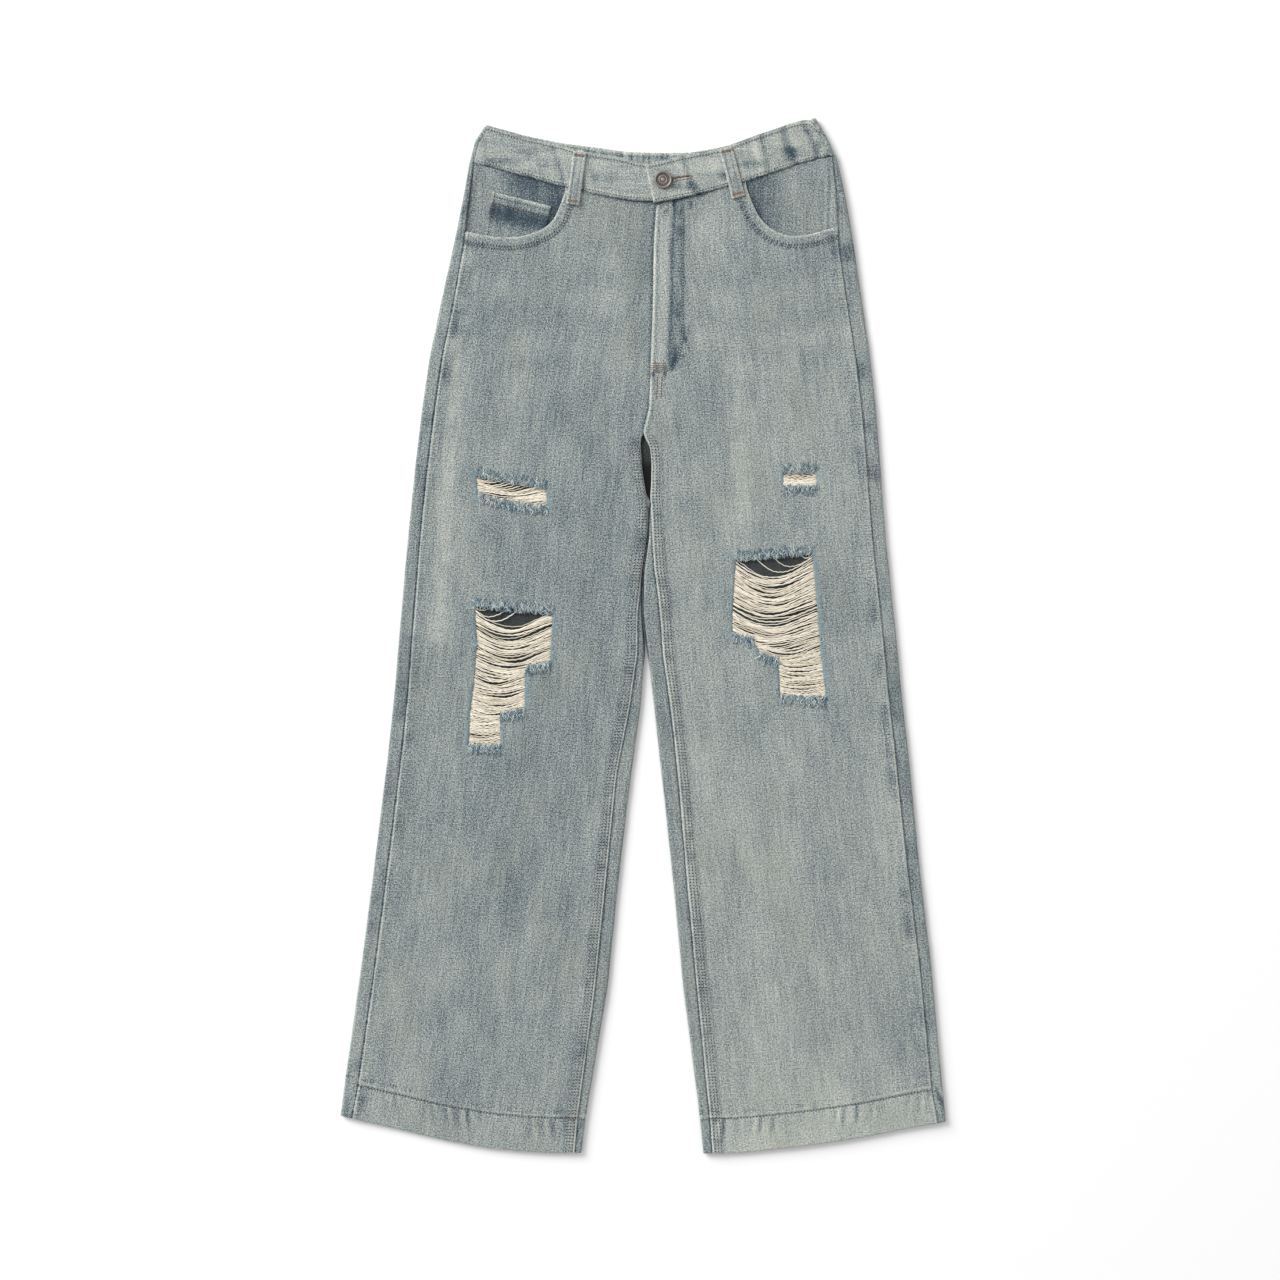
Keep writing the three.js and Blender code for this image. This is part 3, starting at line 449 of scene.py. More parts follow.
def new_object(name: str, points: Array, faces: list | Array, values: dict[str, Array]) -> bpy.types.Object:
    """A mesh object in metres, smooth, with values at its points.

    Args:
        name: Name of the piece.
        points: Its points in millimetres.
        faces: Corners of each face.
        values: Attribute arrays by name: one number or three for each point.

    Returns:
        The object, linked to the scene.
    """
    mesh = bpy.data.meshes.new(name)
    mesh.from_pydata((points * MM).tolist(), [], faces.tolist() if isinstance(faces, Array) else faces)
    for key, value in values.items():
        vector = value.ndim == 2
        layer = mesh.attributes.new(key, "FLOAT_VECTOR" if vector else "FLOAT", "POINT")
        layer.data.foreach_set("vector" if vector else "value", value.astype(np.float32).ravel())
    mesh.polygons.foreach_set("use_smooth", [True] * len(mesh.polygons))
    mesh.update()
    piece = bpy.data.objects.new(name, mesh)
    bpy.context.collection.objects.link(piece)
    return piece


def thick_cloth(name: str, cloth: Cloth, wall: float | Array, edge_wear: float = 0.5,
                shade_inside: float | Array = 0.86) -> bpy.types.Object:
    """Give a sheet its thickness and a rounded edge.

    Args:
        name: Name of the piece.
        cloth: The sheet that its outer face follows.
        wall: Thickness, one number or one for each point.
        edge_wear: Extra wear of the cloth's edge.
        shade_inside: How far its inner face takes the painted shade, a near-black colour in place of the shadow inside
            the garment, for the piece or for each point.

    Returns:
        The closed piece.
    """
    normal = cloth.normals()
    wall = np.broadcast_to(np.asarray(wall, float), (len(cloth.points),))
    under = cloth.points - normal * wall[:, None]
    edges = border_edges(cloth.faces)
    run = cloth.points[edges[:, 1]] - cloth.points[edges[:, 0]]
    away = np.zeros_like(cloth.points)
    for end in (0, 1):
        np.add.at(away, edges[:, end], np.cross(run, normal[edges[:, end]]))
    away /= np.maximum(np.linalg.norm(away, axis=1, keepdims=True), 1e-12)
    rim = np.unique(edges)
    place = np.full(len(cloth.points), -1)
    place[rim] = np.arange(len(rim))
    count = len(cloth.points)
    rings = []
    for depth in (0.22, 0.78):
        sunk = normal[rim] * (wall[rim] * depth)[:, None]
        rings.append(cloth.points[rim] - sunk + away[rim] * (wall[rim] * 0.2)[:, None])
    a, b = edges[:, 0], edges[:, 1]
    ring1 = 2 * count + place
    ring2 = ring1 + len(rim)
    strips = [(b, a, ring1[a], ring1[b]), (ring1[b], ring1[a], ring2[a], ring2[b]),
              (ring2[b], ring2[a], a + count, b + count)]
    faces = [cloth.faces, cloth.faces[:, ::-1] + count]
    faces += [np.stack(strip, axis=1) for strip in strips]
    every = np.concatenate([np.arange(count), np.arange(count), rim, rim])
    inner = np.broadcast_to(np.asarray(shade_inside, float), (count,))
    # painted shade: the inner face, and the rim's inner ring at 0.6, take the near-black colour in place of the shadow
    # inside the garment
    lining = np.concatenate([np.zeros(count), inner, np.zeros(len(rim)), 0.6 * inner[rim]])
    wear = cloth.wear[every]
    wear[2 * count:] += edge_wear
    values = {
        "grain": np.pad(cloth.grain[every], ((0, 0), (0, 1))),
        "deep": cloth.deep[every],
        "wear": wear,
        "tone": cloth.tone[every],
        "indigo": cloth.indigo[every],
        "seam": np.stack([cloth.sewn[every], cloth.along[every], 0 * lining], axis=1),
        "lining": lining,
    }
    return new_object(name, np.concatenate([cloth.points, under, *rings]), np.concatenate(faces), values)


def tubes(paths: list[Array], radii: list[Array], sides: int) -> tuple[Array, Array, Array]:
    """Thin closed tubes along lines, as one mesh.

    Args:
        paths: Points of each line.
        radii: Radius at each point of each line.
        sides: Sides of a tube.

    Returns:
        Points, four-cornered faces, and the number of the tube that each point is on.
    """
    angle = np.arange(sides) * 2 * math.pi / sides
    points, faces, owner = [], [], []
    count = 0
    for number, (path, radius) in enumerate(zip(paths, radii)):
        run = np.gradient(path, axis=0)
        run /= np.maximum(np.linalg.norm(run, axis=1, keepdims=True), 1e-9)
        up = np.where(np.abs(run[:, 2:]) > 0.9, [[1.0, 0, 0]], [[0, 0, 1.0]])
        across = np.cross(run, up)
        across /= np.linalg.norm(across, axis=1, keepdims=True)
        lift = np.cross(across, run)
        ring = across[:, None] * np.cos(angle)[None, :, None] + lift[:, None] * np.sin(angle)[None, :, None]
        body = (path[:, None] + ring * radius[:, None, None]).reshape(-1, 3)
        length = len(path)
        points += [body, path[[0, -1]]]
        step = np.arange(sides)
        other = (step + 1) % sides
        for row in range(length - 1):
            low, high = count + row * sides, count + (row + 1) * sides
            faces.append(np.stack([low + other, low + step, high + step, high + other], axis=1))
        first, last = count + length * sides, count + length * sides + 1
        tail = count + (length - 1) * sides
        faces.append(np.stack([count + step, count + other, np.full(sides, first), np.full(sides, first)], axis=1))
        faces.append(np.stack([tail + other, tail + step, np.full(sides, last), np.full(sides, last)], axis=1))
        owner.append(np.full(length * sides + 2, number))
        count += length * sides + 2
    return np.concatenate(points), np.concatenate(faces), np.concatenate(owner)


def clean_faces(faces: Array) -> list[list[int]]:
    """Faces with a repeated last corner as triangles."""
    return [list(face[:3]) if face[2] == face[3] else list(face) for face in faces.tolist()]


# ---- Finishes ------------------------------------------------------------------------------------
def srgb(red: int, green: int, blue: int) -> tuple[float, float, float, float]:
    """A colour given as it looks on a screen, as a shader takes it."""
    channels = [c / 255 for c in (red, green, blue)]
    linear = [c / 12.92 if c <= 0.04045 else ((c + 0.055) / 1.055) ** 2.4 for c in channels]
    return (*linear, 1.0)


class Graph:
    """A node material while it is wired."""

    def __init__(self, name: str) -> None:
        """Start with a shader and its output."""
        self.material = bpy.data.materials.new(name)
        self.material.use_nodes = True
        self.tree = self.material.node_tree
        self.tree.nodes.clear()
        self.shader = self.tree.nodes.new("ShaderNodeBsdfPrincipled")
        output = self.tree.nodes.new("ShaderNodeOutputMaterial")
        self.tree.links.new(self.shader.outputs["BSDF"], output.inputs["Surface"])

    def feed(self, node: bpy.types.Node, socket: str | int, value: object) -> None:
        """Link a socket, or set it to a plain value."""
        if isinstance(value, bpy.types.NodeSocket):
            self.tree.links.new(value, node.inputs[socket])
        else:
            node.inputs[socket].default_value = value

    def shade(self, **inputs: object) -> None:
        """Feed the shader's sockets, named with _ for a space."""
        for socket, value in inputs.items():
            self.feed(self.shader, socket.replace("_", " "), value)

    def attribute(self, name: str, vector: bool = False) -> bpy.types.NodeSocket:
        """A value kept at the mesh's points."""
        node = self.tree.nodes.new("ShaderNodeAttribute")
        node.attribute_name = name
        return node.outputs["Vector" if vector else "Fac"]

    def stretched(self, vector: bpy.types.NodeSocket, x: float, y: float) -> bpy.types.NodeSocket:
        """A place scaled across and along."""
        node = self.tree.nodes.new("ShaderNodeVectorMath")
        node.operation = "MULTIPLY"
        self.feed(node, 0, vector)
        self.feed(node, 1, (x, y, 1.0))
        return node.outputs[0]

    def noise(self, vector: bpy.types.NodeSocket, scale: float, detail: float = 2.0,
              rough: float = 0.55) -> bpy.types.NodeSocket:
        """Soft random values round one half."""
        node = self.tree.nodes.new("ShaderNodeTexNoise")
        self.feed(node, "Vector", vector)
        for socket, value in (("Scale", scale), ("Detail", detail), ("Roughness", rough)):
            self.feed(node, socket, value)
        return node.outputs["Fac"]

    def math(self, operation: str, a: object, b: object = 0.0, clamp: bool = False) -> bpy.types.NodeSocket:
        """One sum or other operation on numbers."""
        node = self.tree.nodes.new("ShaderNodeMath")
        node.operation = operation
        node.use_clamp = clamp
        self.feed(node, 0, a)
        self.feed(node, 1, b)
        return node.outputs[0]

    def around(self, value: bpy.types.NodeSocket, strength: float) -> bpy.types.NodeSocket:
        """A value round one half turned into a swing round nought."""
        return self.math("MULTIPLY", self.math("SUBTRACT", value, 0.5), strength)

    def total(self, *values: object) -> bpy.types.NodeSocket:
        """The sum of several values."""
        result = values[0]
        for value in values[1:]:
            result = self.math("ADD", result, value)
        return result

    def ramp(self, share: bpy.types.NodeSocket, stops: list[tuple[float, tuple]]) -> bpy.types.NodeSocket:
        """Colours along a scale from 0 to 1."""
        node = self.tree.nodes.new("ShaderNodeValToRGB")
        elements = node.color_ramp.elements
        while len(elements) < len(stops):
            elements.new(0.5)
        for element, (place, colour) in zip(elements, stops):
            element.position = place
            element.color = colour
        self.feed(node, "Fac", share)
        return node.outputs["Color"]

    def mix(self, share: object, first: object, second: object) -> bpy.types.NodeSocket:
        """A colour between two others."""
        node = self.tree.nodes.new("ShaderNodeMix")
        node.data_type = "RGBA"
        node.clamp_factor = True
        self.feed(node, 0, share)
        self.feed(node, 6, first)
        self.feed(node, 7, second)
        return node.outputs[2]

    def bump(self, height: bpy.types.NodeSocket, depth: float) -> None:
        """Relief finer than the mesh, of a depth in millimetres."""
        node = self.tree.nodes.new("ShaderNodeBump")
        self.feed(node, "Height", height)
        self.feed(node, "Distance", depth * MM)
        self.feed(node, "Strength", 1.0)
        self.shade(Normal=node.outputs["Normal"])


@dataclass(frozen=True)
class Denim:
    """Washed denim twill: blue warp over pale weft, mottled, streaked along the warp and worn, its inner face painted
    near-black as shade.
    """

    name: str
    base: float = 0.62  # place on the scale from palest to deepest
    contrast: float = 1.12
    # near-black colour painted on the inner face as the shadow inside the garment
    lining: tuple[float, ...] = field(default_factory=lambda: srgb(19, 22, 26))
    twill_pitch: float = 1.7
    pucker_pitch: float = 2.9

    def build(self) -> bpy.types.Material:
        """Wire the finish.

        Returns:
            The material.
        """
        graph = Graph(self.name)
        grain = graph.attribute("grain", vector=True)
        streak = graph.noise(graph.stretched(grain, 0.62, 0.035), 1.0, 2.0)
        slub = graph.noise(graph.stretched(grain, 0.16, 0.016), 1.0, 3.0)
        pick = graph.noise(graph.stretched(grain, 0.05, 0.6), 1.0, 2.0)
        speck = graph.noise(grain, 0.72, 3.0, 0.75)
        mottle = graph.noise(graph.stretched(grain, 0.03, 0.014), 1.0, 4.0, 0.6)
        twill = self._twill(graph, grain)
        puckers = self._puckers(graph)
        depth = graph.total(
            self.base,
            graph.around(streak, 0.40 * self.contrast),
            graph.around(slub, 0.22 * self.contrast),
            graph.around(pick, 0.20 * self.contrast),
            graph.around(speck, 2.5 * self.contrast),
            graph.around(mottle, 0.34 * self.contrast),
            graph.math("MULTIPLY", twill, 0.05 * self.contrast),
            graph.math("MULTIPLY", puckers, 0.2),
            graph.math("MULTIPLY", graph.attribute("deep"), 0.42),
            graph.math("MULTIPLY", graph.attribute("wear"), -0.33),
            graph.attribute("tone"),
        )
        colour = graph.ramp(depth, [
            (0.0, srgb(214, 213, 200)), (0.22, srgb(186, 190, 181)), (0.42, srgb(160, 167, 163)),
            (0.6, srgb(137, 145, 145)), (0.8, srgb(97, 111, 117)), (1.0, srgb(48, 63, 75))])
        cast = graph.noise(graph.stretched(grain, 0.02, 0.011), 1.0, 2.0)
        shallow = graph.math("SUBTRACT", 1.25, depth, clamp=True)
        tarnish = graph.math("MULTIPLY", graph.around(cast, 1.1), shallow)
        colour = graph.mix(tarnish, colour, srgb(156, 158, 138))
        colour = graph.mix(graph.attribute("indigo"), colour, graph.mix(speck, srgb(66, 104, 124), srgb(140, 168, 176)))
        # painted shade: the inner face turns near-black where the inside of the garment lies in shadow
        colour = graph.mix(graph.attribute("lining"), colour, self.lining)
        graph.shade(Base_Color=colour, Roughness=0.93, Specular_IOR_Level=0.22, Sheen_Weight=0.12,
                    Sheen_Roughness=0.5)
        relief = graph.total(graph.math("MULTIPLY", twill, 0.3), speck, graph.math("MULTIPLY", streak, 0.8),
                             graph.math("MULTIPLY", puckers, -1.0))
        graph.bump(relief, 0.2)
        return graph.material

    def _puckers(self, graph: Graph) -> bpy.types.NodeSocket:
        """Fine puckers where the cloth is sewn, uneven in size, from -1 to 1."""
        parts = graph.tree.nodes.new("ShaderNodeSeparateXYZ")
        graph.feed(parts, 0, graph.attribute("seam", vector=True))
        wander = graph.around(graph.noise(graph.attribute("grain", vector=True), 0.22, 2.0), 10.0)
        phase = graph.math("MULTIPLY", parts.outputs["Y"], 2 * math.pi / self.pucker_pitch)
        return graph.math("MULTIPLY", graph.math("SINE", graph.math("ADD", phase, wander)), parts.outputs["X"])

    def _twill(self, graph: Graph, grain: bpy.types.NodeSocket) -> bpy.types.NodeSocket:
        """Fine diagonal ribs, a little uneven, from -1 to 1."""
        parts = graph.tree.nodes.new("ShaderNodeSeparateXYZ")
        graph.feed(parts, 0, grain)
        diagonal = graph.math("ADD", parts.outputs["X"], graph.math("MULTIPLY", parts.outputs["Y"], 0.9))
        wander = graph.around(graph.noise(grain, 0.25, 1.0), 5.0)
        phase = graph.math("MULTIPLY", diagonal, 2 * math.pi * 0.74 / self.twill_pitch)
        return graph.math("SINE", graph.math("ADD", phase, wander))


@dataclass(frozen=True)
class Thread:
    """Spun thread in two colours, picked strand by strand, with needle holes painted dark as their shade."""

    name: str
    first: tuple[float, ...]
    second: tuple[float, ...]
    # painted shade: the dark colour that the needle holes take in place of their shadow
    hole: tuple[float, ...] = field(default_factory=lambda: srgb(38, 48, 58))

    def build(self) -> bpy.types.Material:
        """Wire the finish.

        Returns:
            The material.
        """
        graph = Graph(self.name)
        place = graph.tree.nodes.new("ShaderNodeTexCoord").outputs["Object"]
        fibre = graph.noise(graph.stretched(place, 1.0, 1.0), 1400.0, 2.0)
        share = graph.total(graph.attribute("strand"), graph.around(fibre, 0.5))
        colour = graph.mix(share, self.first, self.second)
        # painted shade: needle holes take a dark colour in place of their shadow
        colour = graph.mix(graph.attribute("hole"), colour, self.hole)
        graph.shade(Base_Color=colour, Roughness=0.9, Specular_IOR_Level=0.25)
        graph.bump(fibre, 0.12)
        return graph.material


@dataclass(frozen=True)
class AgedBronze:
    """Dark antiqued bronze, rubbed bright on what stands proud."""

    name: str

    def build(self) -> bpy.types.Material:
        """Wire the finish.

        Returns:
            The material.
        """
        graph = Graph(self.name)
        place = graph.tree.nodes.new("ShaderNodeTexCoord").outputs["Object"]
        grit = graph.noise(graph.stretched(place, 1.0, 1.0), 900.0, 3.0)
        share = graph.total(graph.attribute("wear"), graph.around(grit, 0.7))
        colour = graph.mix(share, srgb(72, 67, 64), srgb(150, 140, 132))
        roughness = graph.math("ADD", graph.math("MULTIPLY", grit, 0.35), 0.3)
        graph.shade(Base_Color=colour, Metallic=0.45, Roughness=roughness)
        graph.bump(grit, 0.15)
        return graph.material


@dataclass(frozen=True)
class PaleFloor:
    """Matt white sweep that the garment lies on."""

    name: str = "pale_floor"

    def build(self) -> bpy.types.Material:
        """Wire the finish."""
        graph = Graph(self.name)
        graph.shade(Base_Color=(0.97, 0.97, 0.97, 1.0), Roughness=0.9, Specular_IOR_Level=0.1)
        return graph.material


# ---- Shape of a leg ------------------------------------------------------------------------------
@dataclass
class Leg:
    """One half of the garment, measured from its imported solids.

    Distances across run from the side seam towards the middle of the garment.
    """

    side: Side
    fold_radius: float = 2.5
    wall: float = 1.0
    crotch: float = 140.0
    hem_depth: float = 34.5

    def __post_init__(self) -> None:
        """Measure the outlines and heights."""
        word, sign = self.side.word, self.side.value
        self.sign = sign
        front = Solid(f"front_panel_{word}")
        back = Solid(f"back_panel_{word}", f"back_yoke_{word}")
        cover = Solid(f"front_panel_{word}", f"pocket_facing_{word}")
        webs = [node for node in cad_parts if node.startswith("rip_") and node.endswith(word)]
        levels = np.arange(-472.0, 466.0, 3.0)
        self.outer = back.reach(1, 0, sign, levels)
        self.seam = cover.reach(1, 0, sign, levels)
        low_levels = np.arange(-511.0, 428.0, 3.0)
        self.front_inner = front.reach(1, 0, -sign, low_levels, passes=4)
        self.inner = back.reach(1, 0, -sign, np.arange(-511.0, 131.0, 3.0), passes=4)
        columns = np.arange(12.0 if sign > 0 else -172.0, 186.0 if sign > 0 else 18.0, 3.0)
        self.top = cover.reach(0, 1, 1, columns, passes=3)
        feet = sorted([sign * 70.0, sign * 290.0])
        self.foot = front.reach(0, 1, -1, np.arange(feet[0], feet[1], 4.0), passes=8)
        self.front_height = HeightField(Solid(f"front_panel_{word}", *webs), blur=3)
        self.under_height = HeightField(back, blur=2, sign=-1, pitch=6.0)
        yoke = Solid(f"back_yoke_{word}")
        columns = np.arange(4.0, 176.0, 4.0) * sign
        self.back_top = yoke.reach(0, 1, 1, np.sort(columns), passes=3)
        self.yoke_edge = yoke.reach(0, 1, -1, np.sort(columns), passes=3)
        self.inseam = self._measure_inseam(front)
        beside = Solid(f"back_panel_{Side(-sign).word}")
        self.facing_edge = beside.reach(1, 0, sign, np.arange(-511.0, 131.0, 3.0), passes=4)
        self.front = front

    def _measure_inseam(self, front: Solid) -> Curve:
        """Where the front panel ends, past the crest of the inner fold (+) or short of it (-)."""
        levels = np.arange(-511.0, 199.0, 4.0)
        values = []
        for level in levels:
            cut = front.cut(1, level)
            crest = self.inner_edge(level) + self.sign * self.fold_radius
            past = -self.sign * (cut[:, 0] - crest)
            if past.max() <= 0.05:
                values.append(float(past.max()))
                continue
            near = past > -0.01
            centre = self.front_height(crest, level) - self.fold_radius
            angle = np.arctan2(past[near], cut[near, 2] - centre)
            values.append(float(angle.max() * self.fold_radius))
        return Curve(levels, np.array(values), passes=10)

    def inner_edge(self, y: Array) -> Array:
        """x of the outermost line of the inner fold."""
        return np.where(np.asarray(y) < 128, self.inner(y), self.front_inner(y))

    def rows(self, levels: Array, columns: int) -> Array:
        """Levels of a grid's rows, one column each, before they bend to the edges."""
        return np.repeat(levels[:, None], columns, axis=1)

    def bend(self, level: Array, x: Array, top: Curve) -> Array:
        """y of a row at x: rows follow the waistband at the top and the hem at the foot."""
        falling = ease(-190, -500, level)
        rising = ease(330, 452, level)
        foot = np.clip(self.foot(x) + 500, -20, 26)
        return level + foot * falling + (top(x) - 452) * rising

    def front_grid(self, levels: Array, near: Array, between: int, far: Array) -> tuple[Array, Array, Array, Array]:
        """Points of the front over a grid.

        Args:
            levels: Row levels, from the hem at -500 to the waistband at 452.
            near: Distances of the first columns from the side seam.
            between: Number of even columns between the first and the last ones.
            far: Distances of the last columns from the inner end, the greatest first.

        Returns:
            Points, outward directions, distances from the side seam, and distances from the inner end.
        """
        share = np.linspace(0, 1, between + 2)[1:-1]
        level = self.rows(levels, len(near) + between + len(far))
        x = np.full(level.shape, self.sign * 150.0)
        for _ in range(5):
            y = self.bend(level, x, self.top)
            folded = ease(202, 190, y)
            seam = self.seam(y)
            crest = self.inner_edge(y) + self.sign * self.fold_radius
            end = self.front_inner(y) * (1 - folded) + crest * folded
            flat = np.abs(seam - end)
            length = flat + folded * (self.inseam(y) - 0.15)
            stretch = length - near[-1] - far[0]
            distance = np.concatenate([
                near + np.zeros((len(levels), 1)), near[-1] + stretch[:, len(near):-len(far)] * share,
                length[:, -len(far):] - far], axis=1)
            past = np.maximum(distance - flat, 0) / self.fold_radius
            x = np.where(past > 0, end - self.sign * self.fold_radius * np.sin(past),
                         seam - self.sign * distance)
        z = self.front_height(x, y)
        crest_z = self.front_height(end, y)
        z = np.where(past > 0, crest_z - self.fold_radius * (1 - np.cos(past)), z)
        points = np.stack([x, y, z], axis=-1)
        normals = np.stack([-self.sign * np.sin(past), np.zeros_like(past), np.cos(past)], axis=-1)
        return points, normals, distance, length - distance

    def back_grid(self, levels: Array, counts: tuple[int, int, int, int]) -> tuple[Array, Array, Array, Array]:
        """Points of the back round both folds.

        Args:
            levels: Row levels.
            counts: Columns on the top strip, the outer fold, the underside, and the inner fold with its strip.

        Returns:
            Points, outward directions, distances from the side seam round the cloth, and from the far end.
        """
        radius, sign = self.fold_radius, self.sign
        part = np.concatenate([np.full(n, i) for i, n in enumerate(counts)])
        shares = [np.linspace(0, 1, n, endpoint=False) for n in counts[:3]] + [np.linspace(0, 1, counts[3])]
        share = np.concatenate(shares)
        level = self.rows(levels, len(share))
        part = np.broadcast_to(part, level.shape)
        x = np.full(level.shape, sign * 150.0)
        turn_out = share * math.pi + np.zeros_like(x)
        for _ in range(5):
            y = self.bend(level, x, self.back_top)
            edge = self.outer(y) - sign * radius
            seam = self.seam(y) + sign * 0.3
            folded = ease(self.crotch + 8, self.crotch - 8, y)
            crest = self.inner_edge(np.minimum(y, self.crotch + 8)) + sign * radius
            foot = crest * folded + (1 - folded) * sign * 7.15
            run = share * (math.pi * radius - self.inseam(np.minimum(y, 190)) - 0.15)
            turn = np.minimum(run / radius, math.pi)
            over = np.maximum(run - math.pi * radius, 0)
            half_gap = np.abs(self.inner_edge(y) - self.facing_edge(y)) / 2
            closes = ease(-40, 0, y) * ease(138, 130, y) * bell(turn, 0.95, 0.45)
            beyond = radius * (1 - np.sin(turn)) + np.minimum(half_gap - 0.12, 1.6)
            wrapped = crest - sign * (radius * np.sin(turn) + beyond * closes - over)
            centre = sign * (0.15 + 7 * (1 - share))
            x = np.choose(part, [seam + (edge - seam) * share, edge + sign * radius * np.sin(turn_out),
                                 edge + (foot - edge) * share, wrapped * folded + centre * (1 - folded)])
        low = self.under_height(x, y)
        top = self.front_height(x, y)
        crest_top = self.front_height(edge, y)
        mean = (crest_top + self.under_height(edge, y)) / 2
        inner_low = self.under_height(crest, y)
        inner_top = self.front_height(crest, y)
        arc_z = (inner_low + inner_top) / 2 - (inner_top - inner_low) / 2 * np.cos(turn)
        inner_z = np.where(over > 0, top, arc_z) * folded + low * (1 - folded)
        z = np.choose(part, [top, mean + (crest_top - mean) * np.cos(turn_out), low, inner_z])
        flat = np.zeros_like(z)
        side_x = np.choose(part, [flat, sign * np.sin(turn_out), flat, -sign * np.sin(turn) * folded])
        side_z = np.choose(part, [flat + 1, np.cos(turn_out), flat - 1, -np.cos(turn) * folded - (1 - folded)])
        normals = np.stack([side_x, flat, side_z], axis=-1)
        points = np.stack([x, y, z], axis=-1)
        steps = np.linalg.norm(np.diff(points, axis=1), axis=2)
        along = np.concatenate([np.zeros((len(levels), 1)), np.cumsum(steps, axis=1)], axis=1)
        return points, normals, along, along[:, -1:] - along

    def mouth(self) -> Array:
        """Edge of the front pocket's mouth, from the waistband to the side seam."""
        corner = np.array([self.seam(455.0), 462.0])
        found = []
        for angle in np.radians(np.arange(-2, -112, -1.5)):
            run = np.array([-self.sign * math.cos(angle), math.sin(angle)])
            for step in np.arange(12, 125, 0.5):
                place = corner + run * step
                if self.front.face_height(place[0], place[1], 1) is not None:
                    found.append(place)
                    break
        line = np.array(found)
        jumps = np.linalg.norm(np.diff(line, axis=0), axis=1)
        line = line[1:][jumps < 12]
        return resample(np.stack([smooth(column, 6) for column in line.T], axis=1), 3.0)


# ---- Relief and wear of seams --------------------------------------------------------------------
@dataclass
class Relief:
    """Height, depth of colour and wear that the making of a seam leaves in the cloth round it.

    Where it is sewn, fine puckers follow one another along the seam.
    """

    height: Array
    deep: Array
    wear: Array
    sewn: Array
    along: Array

    @classmethod
    def none(cls, like: Array) -> "Relief":
        """No change anywhere."""
        return cls(*[np.zeros_like(like) for _ in range(5)])

    def pucker(self, share: Array, along: Array) -> None:
        """Draw the cloth into fine puckers.

        Args:
            share: How strongly, from 0 to 1.
            along: Distance along the seam.
        """
        self.along = np.where(share > self.sewn, along, self.along)
        self.sewn = np.maximum(self.sewn, share)

    def add(self, height: Array | float = 0.0, deep: Array | float = 0.0, wear: Array | float = 0.0) -> None:
        """Lay more relief, colour or wear on top."""
        self.height = self.height + height
        self.deep = self.deep + deep
        self.wear = self.wear + wear


def side_seam(relief: Relief, distance: Array, y: Array, seed: float) -> None:
    """The front's edge along a side seam: a thin light ridge, then soft dark blotches.

    Args:
        relief: What it is added to.
        distance: Distance from the seam.
        y: Height up the garment.
        seed: Shifts the blotches along the seam.
    """
    blotch = np.maximum(PATCHY.at(distance + seed, y, 60, 26, 2), 0)
    pucker = FINE.at(distance * 0.4 + seed, y, 8, 9, 2)
    relief.add(
        height=-0.55 * bell(distance, 0, 0.9) + 0.34 * bell(distance, 2.4, 1.5) + 0.22 * ease(13, 10, distance)
        + 0.28 * pucker * np.exp(-distance / 7),
        deep=0.6 * blotch * bell(distance, 7, 5.5) + 0.75 * bell(distance, 0, 0.7)
        - 0.25 * np.minimum(pucker, 0) * np.exp(-distance / 8),
        wear=0.8 * bell(distance, 1.6, 0.9) + 0.25 * np.maximum(pucker, 0) * np.exp(-distance / 6),
    )


def felled_seam(relief: Relief, distance: Array, y: Array, seed: float, width: float = 11.0) -> None:
    """A felled inseam: a raised band with three stitched rows and a bright edge.

    Args:
        relief: What it is added to.
        distance: Distance from the band's free edge.
        y: Height up the garment.
        seed: Shifts the puckers along the seam.
        width: Width of the band.
    """
    on_band = ease(width + 1.2, width - 0.6, distance)
    swell = FINE.at(distance * 0.5 + seed, y, 7, 11, 2)
    rows = bell(distance, 3.4, 0.7) + 0.6 * bell(distance, 6.6, 0.7) + bell(distance, 9.6, 0.7)
    relief.add(
        height=on_band * (0.5 + 0.2 * swell) - 0.3 * rows - 0.5 * bell(distance, 0, 0.6),
        deep=0.3 * rows - 0.4 * np.minimum(swell, 0) * on_band + 0.2 * bell(distance, width + 1.6, 1.2)
        + 0.9 * bell(distance, 0, 0.6),
        wear=1.15 * bell(distance, 1.4, 0.8) + 0.12 * on_band,
    )
    relief.pucker(0.45 * on_band * ease(1.8, 3.0, distance), y)


